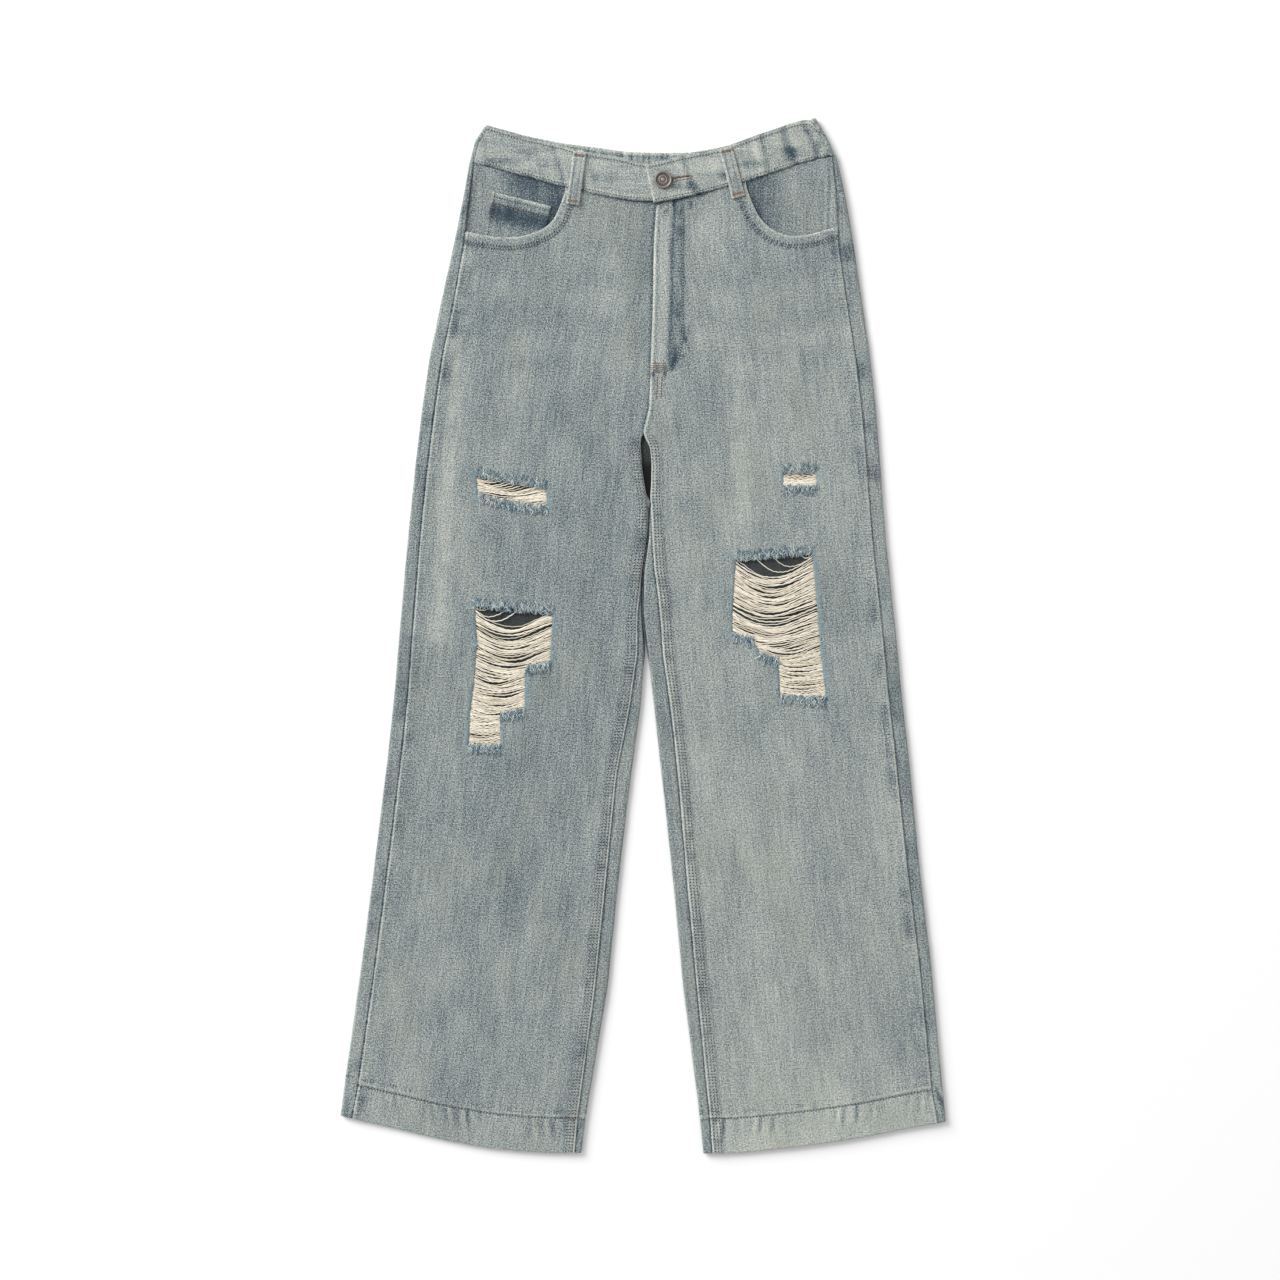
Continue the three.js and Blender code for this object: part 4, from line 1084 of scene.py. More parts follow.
def turned_hem(relief: Relief, height: Array, x: Array, depth: float, seed: float) -> None:
    """A turned hem: a stitched groove with a roll over it, and slanting puckers below.

    Args:
        relief: What it is added to.
        height: Height over the hem's lower edge.
        x: Distance across the leg.
        depth: Height of the stitching.
        seed: Shifts the puckers.
    """
    above = height - depth
    slant = x + 0.28 * height + 3.0 * BROAD.at(x + seed, height, 40, 60)
    fold = np.sin(2 * math.pi * slant / 12.5) + 0.6 * np.sin(2 * math.pi * slant / 7.3 + 1.3)
    fold = fold * np.clip(0.7 + 0.9 * PATCHY.at(x + seed, 0 * height, 26, 60, 1), 0.1, 1.4)
    below = ease(1, -3, above) * ease(8, 25, height)
    crimp = FINE.at(x + seed, height, 2.9, 7, 1)
    roll = bell(above, 4.2, 2.4)
    relief.add(
        height=0.22 * fold * below - 0.55 * bell(above, 0, 1.1) + 0.42 * roll + 0.3 * crimp * roll
        + 0.12 * ease(2.5, 0.5, height),
        deep=-0.45 * np.minimum(fold, 0) * below + 0.8 * bell(above, -0.2, 0.9)
        + 0.6 * np.maximum(crimp, 0) * bell(above, 6.4, 2.0),
        wear=0.25 * np.maximum(fold, 0) * below + (0.75 + 0.5 * crimp) * bell(above, 2.3, 1.0) + 0.12 * ease(2.6, 0.2, height)
        + 0.1 * ease(2, -2, above),
    )
    relief.pucker(0.45 * bell(above, 5.4, 1.8) + 0.6 * bell(above, -2.0, 2.5), x)


def rolled_mouth(relief: Relief, distance: Array, along: Array) -> None:
    """The turned edge of a pocket mouth, with its two rows of stitching.

    Args:
        relief: What it is added to.
        distance: Distance from the mouth.
        along: Distance along it.
    """
    ripple = np.sin(2 * math.pi * along / 6.4 + 1.5 * FINE.at(along, distance, 14, 30))
    relief.add(
        height=0.35 * ease(13, 11, distance) + 0.3 * bell(distance, 1.2, 1.1)
        - 0.32 * bell(distance, 8.6, 0.9) - 0.32 * bell(distance, 11.4, 0.9)
        + 0.2 * ripple * bell(distance, 10, 3.2),
        deep=0.4 * bell(distance, 8.6, 0.9) + 0.5 * bell(distance, 11.6, 1.0)
        + 0.3 * np.maximum(-ripple, 0) * bell(distance, 10.5, 3),
        wear=1.0 * bell(distance, 0.5, 0.9) + 0.15 * ease(10, 6, distance),
    )
    relief.pucker(0.5 * bell(distance, 10.2, 2.4), along)


# ---- Thread work ---------------------------------------------------------------------------------
class Drape:
    """The outer face of a made sheet, to lay lines on."""

    def __init__(self, *cloths: Cloth) -> None:
        """Index the sheets' faces."""
        points, faces, count = [], [], 0
        for cloth in cloths:
            points.append(cloth.points)
            faces.append(cloth.faces + count)
            count += len(cloth.points)
        self.tree = BVHTree.FromPolygons(np.concatenate(points).tolist(), np.concatenate(faces).tolist())

    def line(self, path: Array, pitch: float = 1.5, up: int = 1) -> tuple[Array, Array]:
        """A line in plan dropped on to the sheets.

        Args:
            path: Its points, one row of x and y each.
            pitch: Distance between the points found.
            up: 1 for what shows from above, -1 for what shows from below.

        Returns:
            Points on the cloth and the outward directions there.
        """
        found, normals = [], []
        for x, y in resample(np.asarray(path, float), pitch):
            place, normal, _, _ = self.tree.ray_cast(Vector((x, y, 60.0 * up)), Vector((0, 0, -up)))
            if place is not None:
                found.append(place)
                normals.append(normal if normal.z * up > 0 else -normal)
        return np.array(found), np.array(normals)


@dataclass
class Needlework:
    """Stitches laid along lines on the cloth, joined into one mesh."""

    name: str
    finish: bpy.types.Material
    seed: int = 5
    width: float = 0.62
    points: list[Array] = field(default_factory=list)
    faces: list[Array] = field(default_factory=list)
    strand: list[Array] = field(default_factory=list)
    hole: list[Array] = field(default_factory=list)
    count: int = 0

    RINGS = ((-0.5, -0.16, 0.35), (-0.24, 0.12, 1.0), (0.24, 0.12, 1.0), (0.5, -0.16, 0.35))
    # outline of a needle hole's dark pit, a mark of painted shade
    PIT = ((-0.4, 0.0, 1.0), (0.4, 0.0, 1.0))
    SIDES = 4

    def _beads(self, centre: Array, run: Array, up: Array, length: float, width: float, lift: float,
               hole: float) -> None:
        """Add one small rounded bead of thread, or one dark pit of painted shade for a needle hole, at each centre."""
        rng = np.random.default_rng(self.seed + self.count)
        across = np.cross(run, up)
        number, sides = len(centre), self.SIDES
        outline = self.PIT if hole else self.RINGS
        angle = np.arange(sides) * 2 * math.pi / sides
        rings = []
        for place, rise, girth in outline:
            middle = centre + run * (place * length) + up * (rise * width + lift)
            radius = girth * width / 2
            ring = across[:, None] * np.cos(angle)[None, :, None] + up[:, None] * np.sin(angle)[None, :, None]
            rings.append(middle[:, None] + ring * radius)
        rings.append((centre - run * length * 0.53 + up * (lift - 0.16 * width))[:, None])
        rings.append((centre + run * length * 0.53 + up * (lift - 0.16 * width))[:, None])
        points = np.concatenate(rings, axis=1)
        step = np.arange(sides)
        other = (step + 1) % sides
        faces = [np.stack([row * sides + step, row * sides + other, (row + 1) * sides + other,
                           (row + 1) * sides + step], axis=1) for row in range(len(outline) - 1)]
        tail, first = (len(outline) - 1) * sides, len(outline) * sides
        faces.append(np.stack([other, step, step * 0 + first, step * 0 + first], axis=1))
        faces.append(np.stack([tail + step, tail + other, step * 0 + first + 1, step * 0 + first + 1], axis=1))
        body = np.concatenate(faces)
        size = len(outline) * sides + 2
        self.faces.append((body[None] + (np.arange(number) * size)[:, None, None]).reshape(-1, 4) + self.count)
        self.points.append(points.reshape(-1, 3))
        self.strand.append(np.repeat(rng.random(number), size))
        self.hole.append(np.full(number * size, hole))
        self.count += number * size

    def row(self, line: Array, normals: Array, pitch: float = 3.2, cover: float = 0.74, holes: bool = True,
            width: float | None = None) -> None:
        """A row of stitches with its needle holes, painted dark as their shade.

        Args:
            line: Points on the cloth.
            normals: Outward directions there.
            pitch: Distance from stitch to stitch.
            cover: Share of the pitch that a stitch covers.
            holes: Whether needle holes, dark pits of painted shade, show between the stitches.
            width: Thickness of the thread, or None for the usual one.
        """
        if len(line) < 4:
            return
        both = resample(np.concatenate([line, normals], axis=1), pitch / 2)
        place, up = both[:, :3], both[:, 3:]
        up = up / np.linalg.norm(up, axis=1, keepdims=True)
        run = np.gradient(place, axis=0)
        run -= up * (run * up).sum(axis=1, keepdims=True)
        run /= np.maximum(np.linalg.norm(run, axis=1, keepdims=True), 1e-9)
        thick = width or self.width
        self._beads(place[0::2], run[0::2], up[0::2], pitch * cover, thick, 0.02, 0.0)
        if holes:
            # needle holes: dark pits sunk a little below the thread, their colour painted shade
            self._beads(place[1::2], run[1::2], up[1::2], pitch * 0.45, thick * 2.0, -0.12, 1.0)

    def tack(self, drape: Drape, centre: tuple[float, float], angle: float, length: float, depth: float,
             lines: int = 4) -> None:
        """A bar tack: close zigzag stitching over a short bar.

        Args:
            drape: What it is sewn on.
            centre: Its middle.
            angle: Direction in which the bar runs, in degrees.
            length: Length of the bar.
            depth: Width of the bar.
            lines: Rows of thread across its width.
        """
        run = np.array([math.cos(math.radians(angle)), math.sin(math.radians(angle))])
        across = np.array([-run[1], run[0]])
        for i in range(lines):
            offset = depth * (i / max(lines - 1, 1) - 0.5)
            ends = np.array([centre + across * offset + run * half * length / 2 for half in (-1, 1)])
            line, normals = drape.line(ends, 0.8)
            self.row(line, normals, pitch=1.5, cover=0.95, holes=False, width=0.9)

    def make(self) -> bpy.types.Object:
        """The finished thread work as one piece riding with the garment."""
        faces = clean_faces(np.concatenate(self.faces))
        values = {"strand": np.concatenate(self.strand), "hole": np.concatenate(self.hole)}
        piece = new_object(self.name, np.concatenate(self.points), faces, values)
        return ready(piece, self.finish, "thread")


def ready(piece: bpy.types.Object, finish: bpy.types.Material, slot: str, *stands_for: str) -> bpy.types.Object:
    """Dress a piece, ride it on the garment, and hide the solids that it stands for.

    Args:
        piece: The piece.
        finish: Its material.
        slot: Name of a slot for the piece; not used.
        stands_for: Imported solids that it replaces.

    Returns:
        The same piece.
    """
    piece.data.materials.clear()
    piece.data.materials.append(finish)
    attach(piece, "root")
    if stands_for:
        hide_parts(*stands_for)
    log.info("%s: %d faces", piece.name, len(piece.data.polygons))
    return piece


def column_line(points: Array, normals: Array, distance: Array, value: float) -> tuple[Array, Array]:
    """The line over a grid that keeps one distance from its edge.

    Args:
        points: Grid of points.
        normals: Grid of outward directions.
        distance: Grid of distances, growing or shrinking along each row.
        value: The distance to keep.

    Returns:
        Points and directions, one for each row.
    """
    rows = []
    for place, normal, away in zip(points, normals, distance):
        order = np.argsort(away)
        both = np.concatenate([place, normal], axis=1)[order]
        rows.append([np.interp(value, away[order], column) for column in both.T])
    rows = np.array(rows)
    return rows[:, :3], rows[:, 3:]


# ---- Panels --------------------------------------------------------------------------------------
LEG_LEVELS = np.concatenate([np.arange(-500, -452, 1.8), np.arange(-452, 380, 2.6), np.arange(380, 450, 2.1), [452]])
WHISKERS = {
    Side.RIGHT: [(-30, 372, -150, 388, 9, -0.10), (-28, 338, -165, 352, 12, -0.16), (-24, 312, -160, 318, 8, 0.08),
                 (-22, 292, -150, 290, 10, -0.13), (-30, 268, -130, 252, 8, -0.07),
                 (-182, 380, -207, 0, 9, -0.5)],
    Side.LEFT: [(60, 372, 150, 386, 8, -0.08), (58, 344, 190, 352, 12, -0.15), (56, 318, 190, 322, 8, 0.08),
                (54, 300, 185, 298, 10, -0.13), (60, 276, 170, 262, 9, -0.08),
                (92, 270, 104, -60, 9, -0.3)],
}


def body_tone(side: Side, x: Array, y: Array) -> Array:
    """Slow changes of shade over the front: whiskers at the hip, cloudy wash below."""
    tone = 0.07 * BROAD.at(x + 300 * side.value, y, 70, 190, 3)
    tone = tone + 0.03 * bell(y, 330, 120) * (1 + BROAD.at(x, y, 50, 30))
    tone = tone - (0.07 + 0.03 * ease(-60, -200, y) if side is Side.LEFT else 0.0) - 0.05 * ease(-380, -480, y) * (side.value + 1)
    for x0, y0, x1, y1, width, strength in WHISKERS[side]:
        line = np.array([[x0, y0], [(x0 + x1) / 2, (y0 + y1) / 2 - 4], [x1, y1]])
        distance = nearest(line, x, y)[0]
        ragged = 1 + 0.5 * FINE.at(x, y, 22, 9)
        tone = tone + 0.27 * strength * ragged * np.exp(-((distance / width) ** 2))
    return tone


@dataclass
class FrontPanel:
    """Front of a leg, with its pocket mouth, rips, seams and hem."""

    leg: Leg
    mouth: Array
    rips: list[Array]
    finish: bpy.types.Material
    stitch_rows: tuple[float, ...] = (3.4, 6.6, 9.6)

    def make(self, needle: Needlework, brown: Needlework) -> Cloth:
        """Build the panel and sew its seams.

        Args:
            needle: Takes the pale stitches.
            brown: Takes the brown ones.

        Returns:
            The sheet, for what lies on it.
        """
        leg, word = self.leg, self.leg.side.word
        points, normals, from_seam, from_end = leg.front_grid(
            LEG_LEVELS, np.arange(0, 18.1, 1.5), 74, np.arange(16.8, -0.1, -1.4))
        grain = np.stack([from_seam * leg.sign * -1, points[..., 1]], axis=-1)
        x, y = points[..., 0], points[..., 1]
        relief = self._relief(x, y, from_seam, from_end)
        points = points + normals * relief.height[..., None]
        cloth = Cloth.from_grid(points, grain)
        cloth.deep, cloth.wear = relief.deep.ravel(), relief.wear.ravel()
        cloth.sewn, cloth.along = relief.sewn.ravel(), relief.along.ravel()
        cloth.tone = body_tone(leg.side, x, y).ravel()
        self._sew(needle, points, normals, from_seam, from_end)
        cloth.facing(up=True)
        far = leg.sign * 260.0
        outline = np.concatenate([[[self.mouth[0, 0], 520]], self.mouth,
                                  [[far, self.mouth[-1, 1]], [far, 520]]])
        cloth.trim(outline, keep_inside=False)
        for rip in self.rips:
            cloth.trim(rip, keep_inside=False)
            distance = nearest(rip, cloth.points[:, 0], cloth.points[:, 1], closed=True)[0]
            ragged = np.clip(0.7 + 1.3 * FINE.at(cloth.points[:, 0], cloth.points[:, 1], 4, 4), 0, 1.5)
            cloth.indigo = np.clip(cloth.indigo + 0.8 * ragged * np.exp(-distance / 2.4), 0, 0.85)
        hem = ease(leg.hem_depth + 1, leg.hem_depth - 1, cloth.points[:, 1] - leg.foot(cloth.points[:, 0]))
        wall = leg.wall + 0.5 * hem
        self.cloth = cloth
        self._sew_hem_and_mouth(needle, brown, Drape(cloth))
        piece = thick_cloth(f"cloth_front_{word}", cloth, wall, edge_wear=0.25)
        ready(piece, self.finish, "denim", f"front_panel_{word}")
        self.piece = piece
        return cloth

    def _relief(self, x: Array, y: Array, from_seam: Array, from_end: Array) -> Relief:
        """Relief, colour and wear over the whole panel."""
        leg = self.leg
        relief = Relief.none(x)
        relief.add(height=0.22 * BROAD.at(x, y, 34, 60, 2) + 0.10 * FINE.at(x, y, 9, 22, 2))
        below_mouth = ease(self.mouth[-1, 1] + 2, self.mouth[-1, 1] - 6, y)
        seam = Relief.none(x)
        side_seam(seam, from_seam, y, 40.0 * leg.sign)
        relief.add(seam.height * below_mouth, seam.deep * below_mouth, seam.wear * below_mouth)
        relief.pucker(0.5 * bell(from_seam, 4.5, 3.0) * below_mouth, y)
        legwards = ease(206, 192, y)
        inseam = Relief.none(x)
        felled_seam(inseam, from_end, y, 30.0 * leg.sign)
        relief.add(inseam.height * legwards, inseam.deep * legwards, inseam.wear * legwards)
        relief.pucker(inseam.sewn * legwards, y)
        turned_hem(relief, y - leg.foot(x), from_seam, leg.hem_depth, 10.0 * leg.sign)
        distance, near_x, _ = nearest(self.mouth, x, y)
        rolled_mouth(relief, distance, near_x * 1.3)
        if leg.side is Side.LEFT:
            self._fly(relief, x, y)
        else:
            self._beside_fly(relief, x, y)
        return relief

    def _fly(self, relief: Relief, x: Array, y: Array) -> None:
        """The fly: a bright turned edge, a light strip, a dark ditch and the stitched J."""
        edge = x - self.leg.front_inner(np.maximum(y, 196))
        above = ease(190, 206, y)
        strip = ease(262, 276, y)
        spots = np.maximum(PATCHY.at(x, y, 9, 14, 2), 0)
        puckers = FINE.at(x, y, 2.6, 9, 1)
        under_band = ease(26, 4, self.leg.top(x) - y)
        curve = nearest(J_STITCH, x, y)[0]
        relief.add(
            height=above * (0.5 * bell(edge, 1.4, 1.5) - 0.4 * bell(edge, 0, 0.7))
            - strip * 0.5 * bell(edge, 18.5, 1.8) - 0.3 * bell(curve, 0, 1.0)
            + 0.35 * puckers * under_band * ease(62, 48, x),
            deep=above * 0.35 * bell(edge, 4.4, 1.3) + strip * (0.6 * bell(edge, 18.7, 2.0)
            + (0.30 + 0.6 * spots) * bell(edge, 24, 7.5)) + 0.45 * bell(curve, 0, 1.2)
            + 1.5 * np.maximum(puckers + 0.15, 0) * under_band * bell(x, 36, 15)
            + 0.8 * bell(self.leg.top(x) - y, 0.6, 1.5)
            + 1.1 * np.maximum(puckers + 0.2, 0) * bell(curve, 3, 4) * ease(335, 298, y),
            wear=above * (0.85 * bell(edge, 1.1, 1.0) + 0.30 * ease(17, 13, edge) * strip),
        )

    def _beside_fly(self, relief: Relief, x: Array, y: Array) -> None:
        """The right front next to the fly, shaded by its edge."""
        edge = FLY_EDGE(y) - x
        above = ease(196, 210, y)
        relief.add(height=-0.35 * above * bell(edge, 0.5, 1.6),
                   deep=above * 0.55 * bell(edge, 0.6, 1.6) + 0.8 * bell(self.leg.top(x) - y, 0.6, 1.5))

    def _sew_hem_and_mouth(self, needle: Needlework, brown: Needlework, drape: Drape) -> None:
        """Stitches over the hem and along the pocket mouth, and on the left those of the fly."""
        leg, sign = self.leg, self.leg.sign
        for sewing, first, last in ((brown, sign * 60, sign * 82), (needle, sign * 82, leg.seam(-470.0) - sign * 2)):
            across = np.linspace(first, last, 60)
            sewing.row(*drape.line(np.stack([across, leg.foot(across) + leg.hem_depth], axis=1)), pitch=3.2)
        for inset in (8.6, 11.4):
            needle.row(*drape.line(shifted(self.mouth, -sign * inset)), pitch=2.9)
        if leg.side is Side.LEFT:
            needle.row(*drape.line(J_STITCH), pitch=2.8)
            brown.tack(drape, (13.8, 268.5), 0.0, 13.5, 8.8, lines=5)
            for x in (13.0, 17.5):
                brown.row(*drape.line(np.array([[x, 260.0], [x - 1.0, 238.0]])), pitch=2.8)

    def _sew(self, needle: Needlework, points: Array, normals: Array, from_seam: Array, from_end: Array) -> None:
        """Rows of stitches along the inseam."""
        low = points[:, 50, 1] < 196
        for distance in self.stitch_rows:
            line, up = column_line(points[low], normals[low], from_end[low], distance)
            needle.row(line, up, pitch=3.1)


FLY_EDGE = Curve(np.array([196.0, 211, 233, 249, 277, 328, 388, 434]),
                 np.array([-3.7, -0.8, 6, 7, 6, 8, 9, 12]), passes=0)
J_STITCH = np.array([[38.5, 430], [38.5, 302], [37.2, 292], [33.4, 276], [28, 268.5], [20, 264.5], [9, 264]])


BACK_LEVELS = np.concatenate([np.arange(-500, -455, 3.0), np.arange(-455, 450, 4.6), [452]])


@dataclass
class BackPanel:
    """Back of a leg and its yoke, round both folds of the leg, with the outer face down."""

    leg: Leg
    finish: bpy.types.Material
    columns: tuple[int, int, int, int] = (8, 12, 64, 20)
    panel: Cloth | None = None
    yoke: Cloth | None = None

    def make(self) -> list[bpy.types.Object]:
        """Build the panel and the yoke.

        Returns:
            The panel and the yoke.
        """
        leg, word = self.leg, self.leg.side.word
        points, normals, along, from_end = leg.back_grid(BACK_LEVELS, self.columns)
        grain = np.stack([along, points[..., 1]], axis=-1)
        x, y = points[..., 0], points[..., 1]
        under = ease(-0.3, -0.9, normals[..., 2])
        sideways = -leg.sign * normals[..., 0]
        # painted shade: the side of the inner fold that faces the other leg, in the narrow gap between the legs, is
        # darkened as the gap's shadow
        groove = ease(0.7, 0.1, normals[..., 2]) * ease(0.1, 0.4, sideways) * ease(-45, 0, y) * ease(160, 130, y)
        relief = Relief.none(x)
        relief.add(
            height=0.35 * under * (BROAD.at(x, y, 42, 90, 2) - 0.9) + 0.14 * (1 - under) * FINE.at(along, y, 8, 14),
            deep=(0.35 + 0.55 * ease(60, 200, y)) * np.maximum(PATCHY.at(x, y, 30, 24, 2), 0) * bell(along, 2, 12)
            * (1 - under) + 0.7 * bell(along, 0, 0.8) + 0.9 * bell(from_end, 0, 0.8) * ease(195, 150, y)
            + 2.6 * groove,
            wear=0.35 * bell(np.abs(normals[..., 0]), 1, 0.35) * (1 + FINE.at(y, along, 6, 9)) * (1 - under),
        )
        hem = Relief.none(x)
        turned_hem(hem, y - leg.foot(x), along, leg.hem_depth, 90.0 * leg.sign)
        lift = np.where(under > 0.5, np.minimum(hem.height, 0), 0.6 * hem.height)
        relief.add(lift, hem.deep, hem.wear)
        points = points + normals * relief.height[..., None]
        sheet = Cloth.from_grid(points, grain)
        sheet.deep, sheet.wear = relief.deep.ravel(), relief.wear.ravel()
        sheet.tone = (0.06 * BROAD.at(x - 90, y, 60, 150, 3)).ravel()
        sheet.facing(up=False)
        columns = np.linspace(-leg.sign * 12, leg.sign * 240, 40)
        line = np.stack([columns, leg.yoke_edge(columns) - 0.15], axis=1)
        above = np.concatenate([line, [[columns[-1], 540], [columns[0], 540]]])
        pieces = []
        for name, keep in ((f"back_panel_{word}", False), (f"back_yoke_{word}", True)):
            part = Cloth(**{key: getattr(sheet, key).copy() for key in sheet.__dataclass_fields__})
            part.trim(above, keep_inside=keep)
            wall = leg.wall + 0.3 * ease(leg.hem_depth + 2, leg.hem_depth - 2, part.points[:, 1] - leg.foot(part.points[:, 0]))
            # painted shade: the inner face darkens further in the wedge between the legs at the crotch, in place of its
            # deep shadow
            painted_wedge_shade = ease(180, 168, part.points[:, 1]) * ease(26, 14, np.abs(part.points[:, 0]))
            piece = thick_cloth(f"cloth_{name}", part, wall, shade_inside=0.86 + 0.14 * painted_wedge_shade)
            pieces.append(ready(piece, self.finish, "denim", name))
            if keep:
                self.yoke = part
            else:
                self.panel = part
        return pieces

    def sew(self, needle: Needlework) -> None:
        """Sew the yoke seam and the centre seam.

        Args:
            needle: Takes the stitches.
        """
        leg, sign = self.leg, self.leg.sign
        drape = Drape(self.panel, self.yoke)
        columns = np.linspace(sign * 6, sign * 176, 30)
        for drop in (2.4, 8.4):
            edge = np.stack([columns, leg.yoke_edge(columns) + drop], axis=1)
            needle.row(*drape.line(edge, up=-1), pitch=3.4)
            centre = np.array([[sign * drop, 404], [sign * drop, 150]])
            if sign > 0:
                needle.row(*drape.line(centre, up=-1), pitch=3.4)


def patch(node: str, pitch: float, sign: int = 1, turn: float = 0.0) -> Cloth:
    """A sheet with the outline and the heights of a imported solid.

    Args:
        node: The solid.
        pitch: Size of the sheet's squares.
        sign: 1 where its outer face is up, -1 where it is down.
        turn: Angle of the sheet's threads, in radians.

    Returns:
        The sheet.
    """
    solid = Solid(node)
    outline = solid.rims()[0]
    run, rise = np.array([math.cos(turn), math.sin(turn)]), np.array([-math.sin(turn), math.cos(turn)])
    across, along = outline @ run, outline @ rise
    u, v = np.meshgrid(np.arange(across.min() - pitch, across.max() + 2 * pitch, pitch),
                       np.arange(along.min() - pitch, along.max() + 2 * pitch, pitch))
    x, y = u * run[0] + v * rise[0], u * run[1] + v * rise[1]
    z = HeightField(solid, blur=2, sign=sign, pitch=max(pitch * 1.5, 3.0))(x, y)
    cloth = Cloth.from_grid(np.stack([x, y, z], axis=-1), np.stack([u, v], axis=-1))
    cloth.trim(outline, keep_inside=True)
    return cloth.facing(up=sign > 0)


@dataclass
class PocketFacing:
    """Smooth cloth that shows in a pocket mouth."""

    side: Side
    finish: bpy.types.Material
    fold_x: float = 184.0

    def make(self) -> tuple[Cloth, bpy.types.Object]:
        """Build the facing.

        Returns:
            The sheet and the piece.
        """
        word = self.side.word
        cloth = patch(f"pocket_facing_{word}", 1.7)
        x, y = cloth.points[:, 0], cloth.points[:, 1]
        cloth.points[:, 2] += 0.15 * BROAD.at(x, y, 24, 40, 2) + 0.06 * FINE.at(x, y, 7, 16)
        inward = ease(150, 110, np.abs(x))
        cloth.deep = 0.7 * inward * (1 + 0.6 * PATCHY.at(x, y, 18, 22)) + 0.2 * np.maximum(PATCHY.at(x, y, 14, 22), 0)
        if self.side is Side.LEFT:
            fold = np.abs(x - self.fold_x - 0.02 * (y - 440))
            cloth.points[:, 2] -= 0.4 * np.exp(-((fold / 1.2) ** 2))
            cloth.deep = cloth.deep + 0.4 * np.exp(-((fold / 1.6) ** 2))
            cloth.wear = 0.5 * np.exp(-(((fold - 2.6) / 1.4) ** 2))
        piece = thick_cloth(f"cloth_pocket_facing_{word}", cloth, 0.9)
        return cloth, ready(piece, self.finish, "denim_facing", f"pocket_facing_{word}")


@dataclass
class CoinPocket:
    """Small patch pocket on the right facing, with a hemmed and worn mouth."""

    finish: bpy.types.Material
    mouth: tuple[tuple[float, float], tuple[float, float]] = ((-151.8, 444.0), (-93.6, 429.5))

    def make(self, needle: Needlework, pale: Needlework) -> bpy.types.Object:
        """Build the pocket and sew its mouth.

        Args:
            needle: Takes the brown stitches.
            pale: Takes the pale ones.

        Returns:
            The piece.
        """
        left, right = np.array(self.mouth)
        run = (right - left) / np.linalg.norm(right - left)
        cloth = patch("coin_pocket", 1.25, turn=math.atan2(run[1], run[0]))
        x, y = cloth.points[:, 0], cloth.points[:, 1]
        below = -((x - left[0]) * -run[1] + (y - left[1]) * run[0])
        along = (x - left[0]) * run[0] + (y - left[1]) * run[1]
        crimp = FINE.at(along, below, 4, 9)
        cloth.points[:, 2] += (0.35 * bell(below, 1.3, 1.6) - 0.3 * bell(below, 4.2, 0.9) + 0.14 * crimp
                               - 0.28 * bell(below, 10.6, 0.9) + 0.1 * BROAD.at(x, y, 16, 22))
        streaks = PATCHY.at(along, below, 5, 26, 2)
        cloth.wear = 0.75 * bell(below, 1.0, 1.5) + 0.3 * np.maximum(streaks, 0) * ease(8, 20, below)
        cloth.deep = (1.15 * bell(below, 18.0, 9.0) * (0.8 + 0.5 * streaks) + 0.35 * np.maximum(-streaks, 0)
                      + 0.3 * bell(below, 4.2, 1.0) - 0.1 * ease(26, 40, below))
        cloth.wear = cloth.wear + 0.5 * bell(along, 1.0, 1.2) + 0.4 * ease(12, 9, below)
        piece = thick_cloth("cloth_coin_pocket", cloth, 0.9)
        drape = Drape(cloth)
        for depth, sewing in ((4.2, pale), (10.6, needle)):
            sink = np.array([run[1], -run[0]]) * depth
            sewing.row(*drape.line(np.array([left + sink + run * 2, right + sink - run * 2]), 1.0), pitch=2.6)
        side_line = np.array([left + run * 2.6, np.array([-158.0, 393.5])])
        needle.row(*drape.line(side_line, 1.0), pitch=2.6)
        return ready(piece, self.finish, "denim_coin", "coin_pocket")


@dataclass
class BackPocket:
    """Plain patch pocket on the hidden side."""

    side: Side
    finish: bpy.types.Material

    def make(self, needle: Needlework) -> bpy.types.Object:
        """Build the pocket and sew it round.

        Args:
            needle: Takes the stitches.

        Returns:
            The piece.
        """
        node = f"back_pocket_{self.side.word}"
        cloth = patch(node, 2.4, sign=-1)
        outline = Solid(node).rims()[0]
        x, y = cloth.points[:, 0], cloth.points[:, 1]
        distance = nearest(outline, x, y, closed=True)[0]
        mouth = outline[:, 1].max() - y
        cloth.points[:, 2] += 0.12 + 0.12 * BROAD.at(x, y, 22, 30) + 0.16 * bell(distance, 2.4, 0.9)
        cloth.wear = 0.6 * bell(distance, 0.6, 1.4) + 0.2 * np.maximum(BROAD.at(x, y, 20, 30), 0)
        cloth.deep = 0.35 * bell(distance, 2.4, 1.0) + 0.35 * bell(mouth, 14, 1.4)
        piece = thick_cloth(f"cloth_{node}", cloth, 0.85)
        drape = Drape(cloth)
        centre = outline.mean(axis=0)
        for inset in (2.2, 7.6):
            span = np.abs(outline - centre).max(axis=0)
            ring = centre + (outline - centre) * (1 - inset / span)
            needle.row(*drape.line(np.vstack([ring, ring[:1]]), up=-1), pitch=3.4)
        return ready(piece, self.finish, "denim", node)


